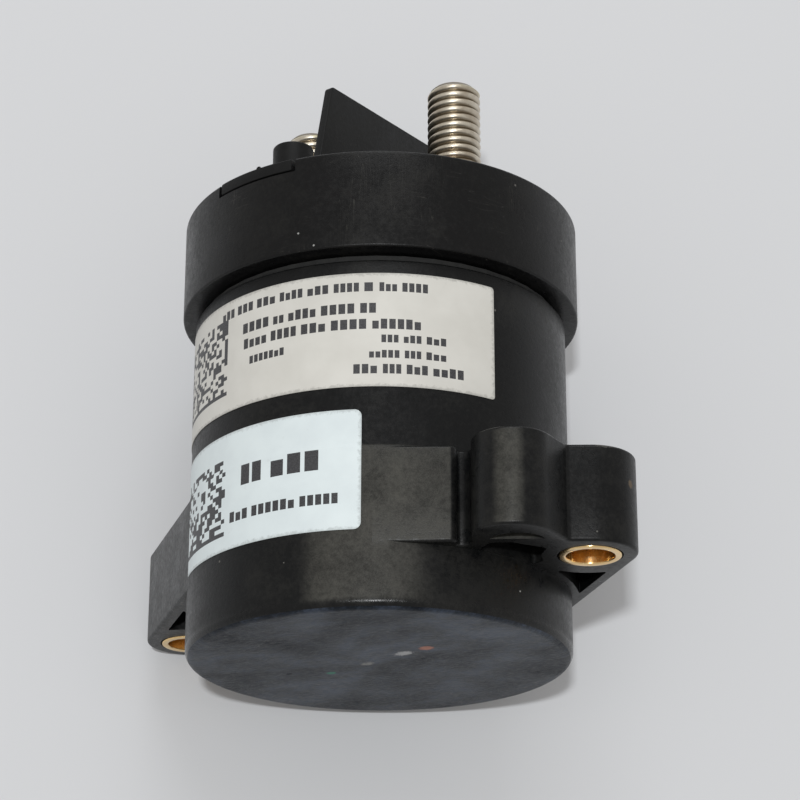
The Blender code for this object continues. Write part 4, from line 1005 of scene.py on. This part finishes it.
def makeLabel(label, paper):
    dice = random.Random(label["seed"])
    marks = wordMarks(label, dice) + codeMarks(label, dice)
    corner = label["corner"]
    degree = label["degree"]
    across = {label["start"], label["end"]} | {m[0] for m in marks} | {m[1] for m in marks}
    upright = {label["low"], label["high"]} | {m[2] for m in marks} | {m[3] for m in marks}
    steps = int((label["end"] - label["start"]) / 1.5)
    across |= {label["start"] + (label["end"] - label["start"]) * i / steps for i in range(steps)}
    upright |= {label["low"] + (label["high"] - label["low"]) * i / 24 for i in range(24)}
    for i in range(9):
        part = corner * (1 - cos(pi / 2 * i / 8))
        upright |= {label["low"] + part, label["high"] - part}
        across.add(label["end"] - part / degree)

    def thin(values, least):
        kept = []
        for v in sorted(values):
            if not kept or v - kept[-1] > least:
                kept.append(v)
        return kept

    columns = thin(across, 0.004)
    rows = thin(upright, 0.000004)
    shape = bmesh.new()
    places = shape.loops.layers.uv.new("labelPlace")
    grid = {}
    for j, z in enumerate(rows):
        inset = 0.0
        fromEdge = min(z - label["low"], label["high"] - z)
        if fromEdge < corner:
            inset = corner - sqrt(max(corner ** 2 - (corner - fromEdge) ** 2, 0))
        limit = label["end"] - inset / degree
        radius = labelRadius(z)
        for i, angle in enumerate(columns):
            turned = min(angle, limit)
            spot = (radius * cos(radians(turned)), radius * sin(radians(turned)), z)
            uv = ((turned - label["start"]) * degree * 1000, (z - label["low"]) * 1000)
            grid[i, j] = (shape.verts.new(spot), uv)
    for j in range(len(rows) - 1):
        middleZ = (rows[j] + rows[j + 1]) / 2
        inRow = [m for m in marks if m[2] < middleZ < m[3]]
        for i in range(len(columns) - 1):
            middle = (columns[i] + columns[i + 1]) / 2
            corners = [grid[i, j], grid[i + 1, j], grid[i + 1, j + 1], grid[i, j + 1]]
            face = shape.faces.new([c[0] for c in corners])
            face.material_index = 1 if any(m[0] < middle < m[1] for m in inRow) else 0
            for loop, corner in zip(face.loops, corners):
                loop[places].uv = corner[1]
    bmesh.ops.remove_doubles(shape, verts=shape.verts, dist=0.000001)
    mesh = bpy.data.meshes.new(label["name"])
    shape.to_mesh(mesh)
    shape.free()
    piece = keep(mesh, label["name"])
    for material in (paper, labelInk):
        mesh.materials.append(material)
    thick = piece.modifiers.new("thick", "SOLIDIFY")
    thick.thickness = 0.00007
    thick.offset = 1
    applyModifiers(piece)
    return smooth(piece, 60)


for label in (upperLabel, lowerLabel):
    label["degree"] = housing["radius"] * pi / 180
    label["length"] = (label["end"] - label["start"]) * label["degree"] * 1000
    label["height"] = (label["high"] - label["low"]) * 1000
    piece = makeLabel(label, makePaper(label["name"] + "Paper", label))
    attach(piece, "case")
    print(label["name"], len(piece.data.polygons))


# Finishes of the CAD nodes that stay

finishes = {
    "bare_steel": innerSteel, "copper": copper, "silver": silver, "plated_steel": springSteel,
    "natural_moulding": naturalNylon, "ceramic": firedCeramic, "black_rubber": sealRubber,
    "magnet": sinteredMagnet, "enamelled_wire": windingWire, "brass": brass, "black_moulding": housingPlastic,
    "cap_moulding": capPlastic,
}
for part in frame["record"]["subparts"]:
    node = nodes[part["node"]]
    for slot in node.material_slots:
        slot.material = finishes[part["material_slot"]]
print("finishes set")


# Camera

view = {"place": (0.214003, -0.276312, -0.096827), "azimuth": 37.2814, "elevation": -21.4014, "roll": 0.098,
        "lens": 114.59}


def makeCamera():
    data = bpy.data.cameras.new("photoCamera")
    data.lens = view["lens"]
    data.sensor_width = 36
    data.clip_start = 0.01
    data.clip_end = 20
    camera = bpy.data.objects.new("photoCamera", data)
    bpy.context.scene.collection.objects.link(camera)
    azimuth = radians(view["azimuth"])
    elevation = radians(view["elevation"])
    forward = Vector((-sin(azimuth) * cos(elevation), cos(azimuth) * cos(elevation), -sin(elevation)))
    turn = forward.to_track_quat("-Z", "Y").to_matrix().to_4x4() @ Matrix.Rotation(radians(view["roll"]), 4, "Z")
    camera.matrix_world = Matrix.Translation(view["place"]) @ turn
    bpy.context.scene.camera = camera


makeCamera()


# Table, light and world

table = {"normal": (-0.6333, 0.7739, 0), "away": 0.02936, "size": 6.0, "colour": (0.665, 0.67, 0.685)}


def makeTable():
    # The object lies on its back: the table touches the cap and the left ear
    normal = Vector(table["normal"]).normalized()
    side = normal.cross(Vector((0, 0, 1)))
    half = table["size"] / 2
    centre = normal * table["away"]
    signs = ((-1, -1), (1, -1), (1, 1), (-1, 1))
    corners = [centre + side * (a * half) + Vector((0, 0, b * half)) for a, b in signs]
    mesh = bpy.data.meshes.new("table")
    mesh.from_pydata([tuple(c) for c in corners], [], [(0, 1, 2, 3)])
    if mesh.polygons[0].normal.dot(normal) > 0:
        mesh.flip_normals()
    material, tree, shader = newMaterial("tableTop")
    cloud = noise(tree, objectCoords(tree), 3, 2)
    colour = mixColour(tree, remap(tree, cloud, 0.4, 0.6, smooth=True), table["colour"],
                       tuple(c * 0.985 for c in table["colour"]))
    setShader(shader, colour=colour, roughness=0.6, specular=0.2)
    clear = addNode(tree, "ShaderNodeBsdfTransparent").outputs[0]
    behind = addNode(tree, "ShaderNodeNewGeometry").outputs["Backfacing"]
    both = addNode(tree, "ShaderNodeMixShader", {0: behind, 1: shader.outputs[0], 2: clear}).outputs[0]
    tree.links.new(both, tree.nodes["Material Output"].inputs["Surface"])
    piece = keep(mesh, "table", material)


def addLamp(name, settings):
    data = bpy.data.lights.new(name, "AREA")
    data.shape = "RECTANGLE"
    data.size, data.size_y = settings["size"]
    data.energy = settings["power"]
    data.color = settings["colour"]
    lamp = bpy.data.objects.new(name, data)
    bpy.context.scene.collection.objects.link(lamp)
    azimuth = radians(settings["azimuth"])
    elevation = radians(settings["elevation"])
    toward = Vector((sin(azimuth) * cos(elevation), -cos(azimuth) * cos(elevation), sin(elevation)))
    target = Vector((0, 0, 0.04))
    lamp.location = target + toward * settings["distance"]
    lamp.rotation_euler = (-toward).to_track_quat("-Z", "Y").to_euler()


lamps = {
    "frontLamp": {"azimuth": 35.2, "elevation": -10.5, "distance": 1.0, "size": (0.05, 0.04), "power": 4.1,
                  "colour": (0.96, 0.985, 1)},
    "ceilingLamp": {"azimuth": 39.3, "elevation": 50, "distance": 1.1, "size": (0.6, 0.4), "power": 2.9,
                    "colour": (0.96, 0.98, 1)},
}


def makeWorld():
    world = bpy.data.worlds.new("studioWorld")
    world.use_nodes = True
    bpy.context.scene.world = world
    tree = world.node_tree
    tree.nodes["Background"].inputs["Color"].default_value = (1, 0.98, 0.955, 1)
    tree.nodes["Background"].inputs["Strength"].default_value = 0.5
    shown = addNode(tree, "ShaderNodeBackground", {"Color": (0.69, 0.695, 0.71, 1), "Strength": 1.0}).outputs[0]
    camera = addNode(tree, "ShaderNodeLightPath").outputs["Is Camera Ray"]
    mixed = addNode(tree, "ShaderNodeMixShader", {
        0: camera, 1: tree.nodes["Background"].outputs[0], 2: shown}).outputs[0]
    tree.links.new(mixed, tree.nodes["World Output"].inputs["Surface"])


makeTable()
for name, settings in lamps.items():
    addLamp(name, settings)
makeWorld()
bpy.context.scene.view_settings.view_transform = "Standard"
print("stage ready")
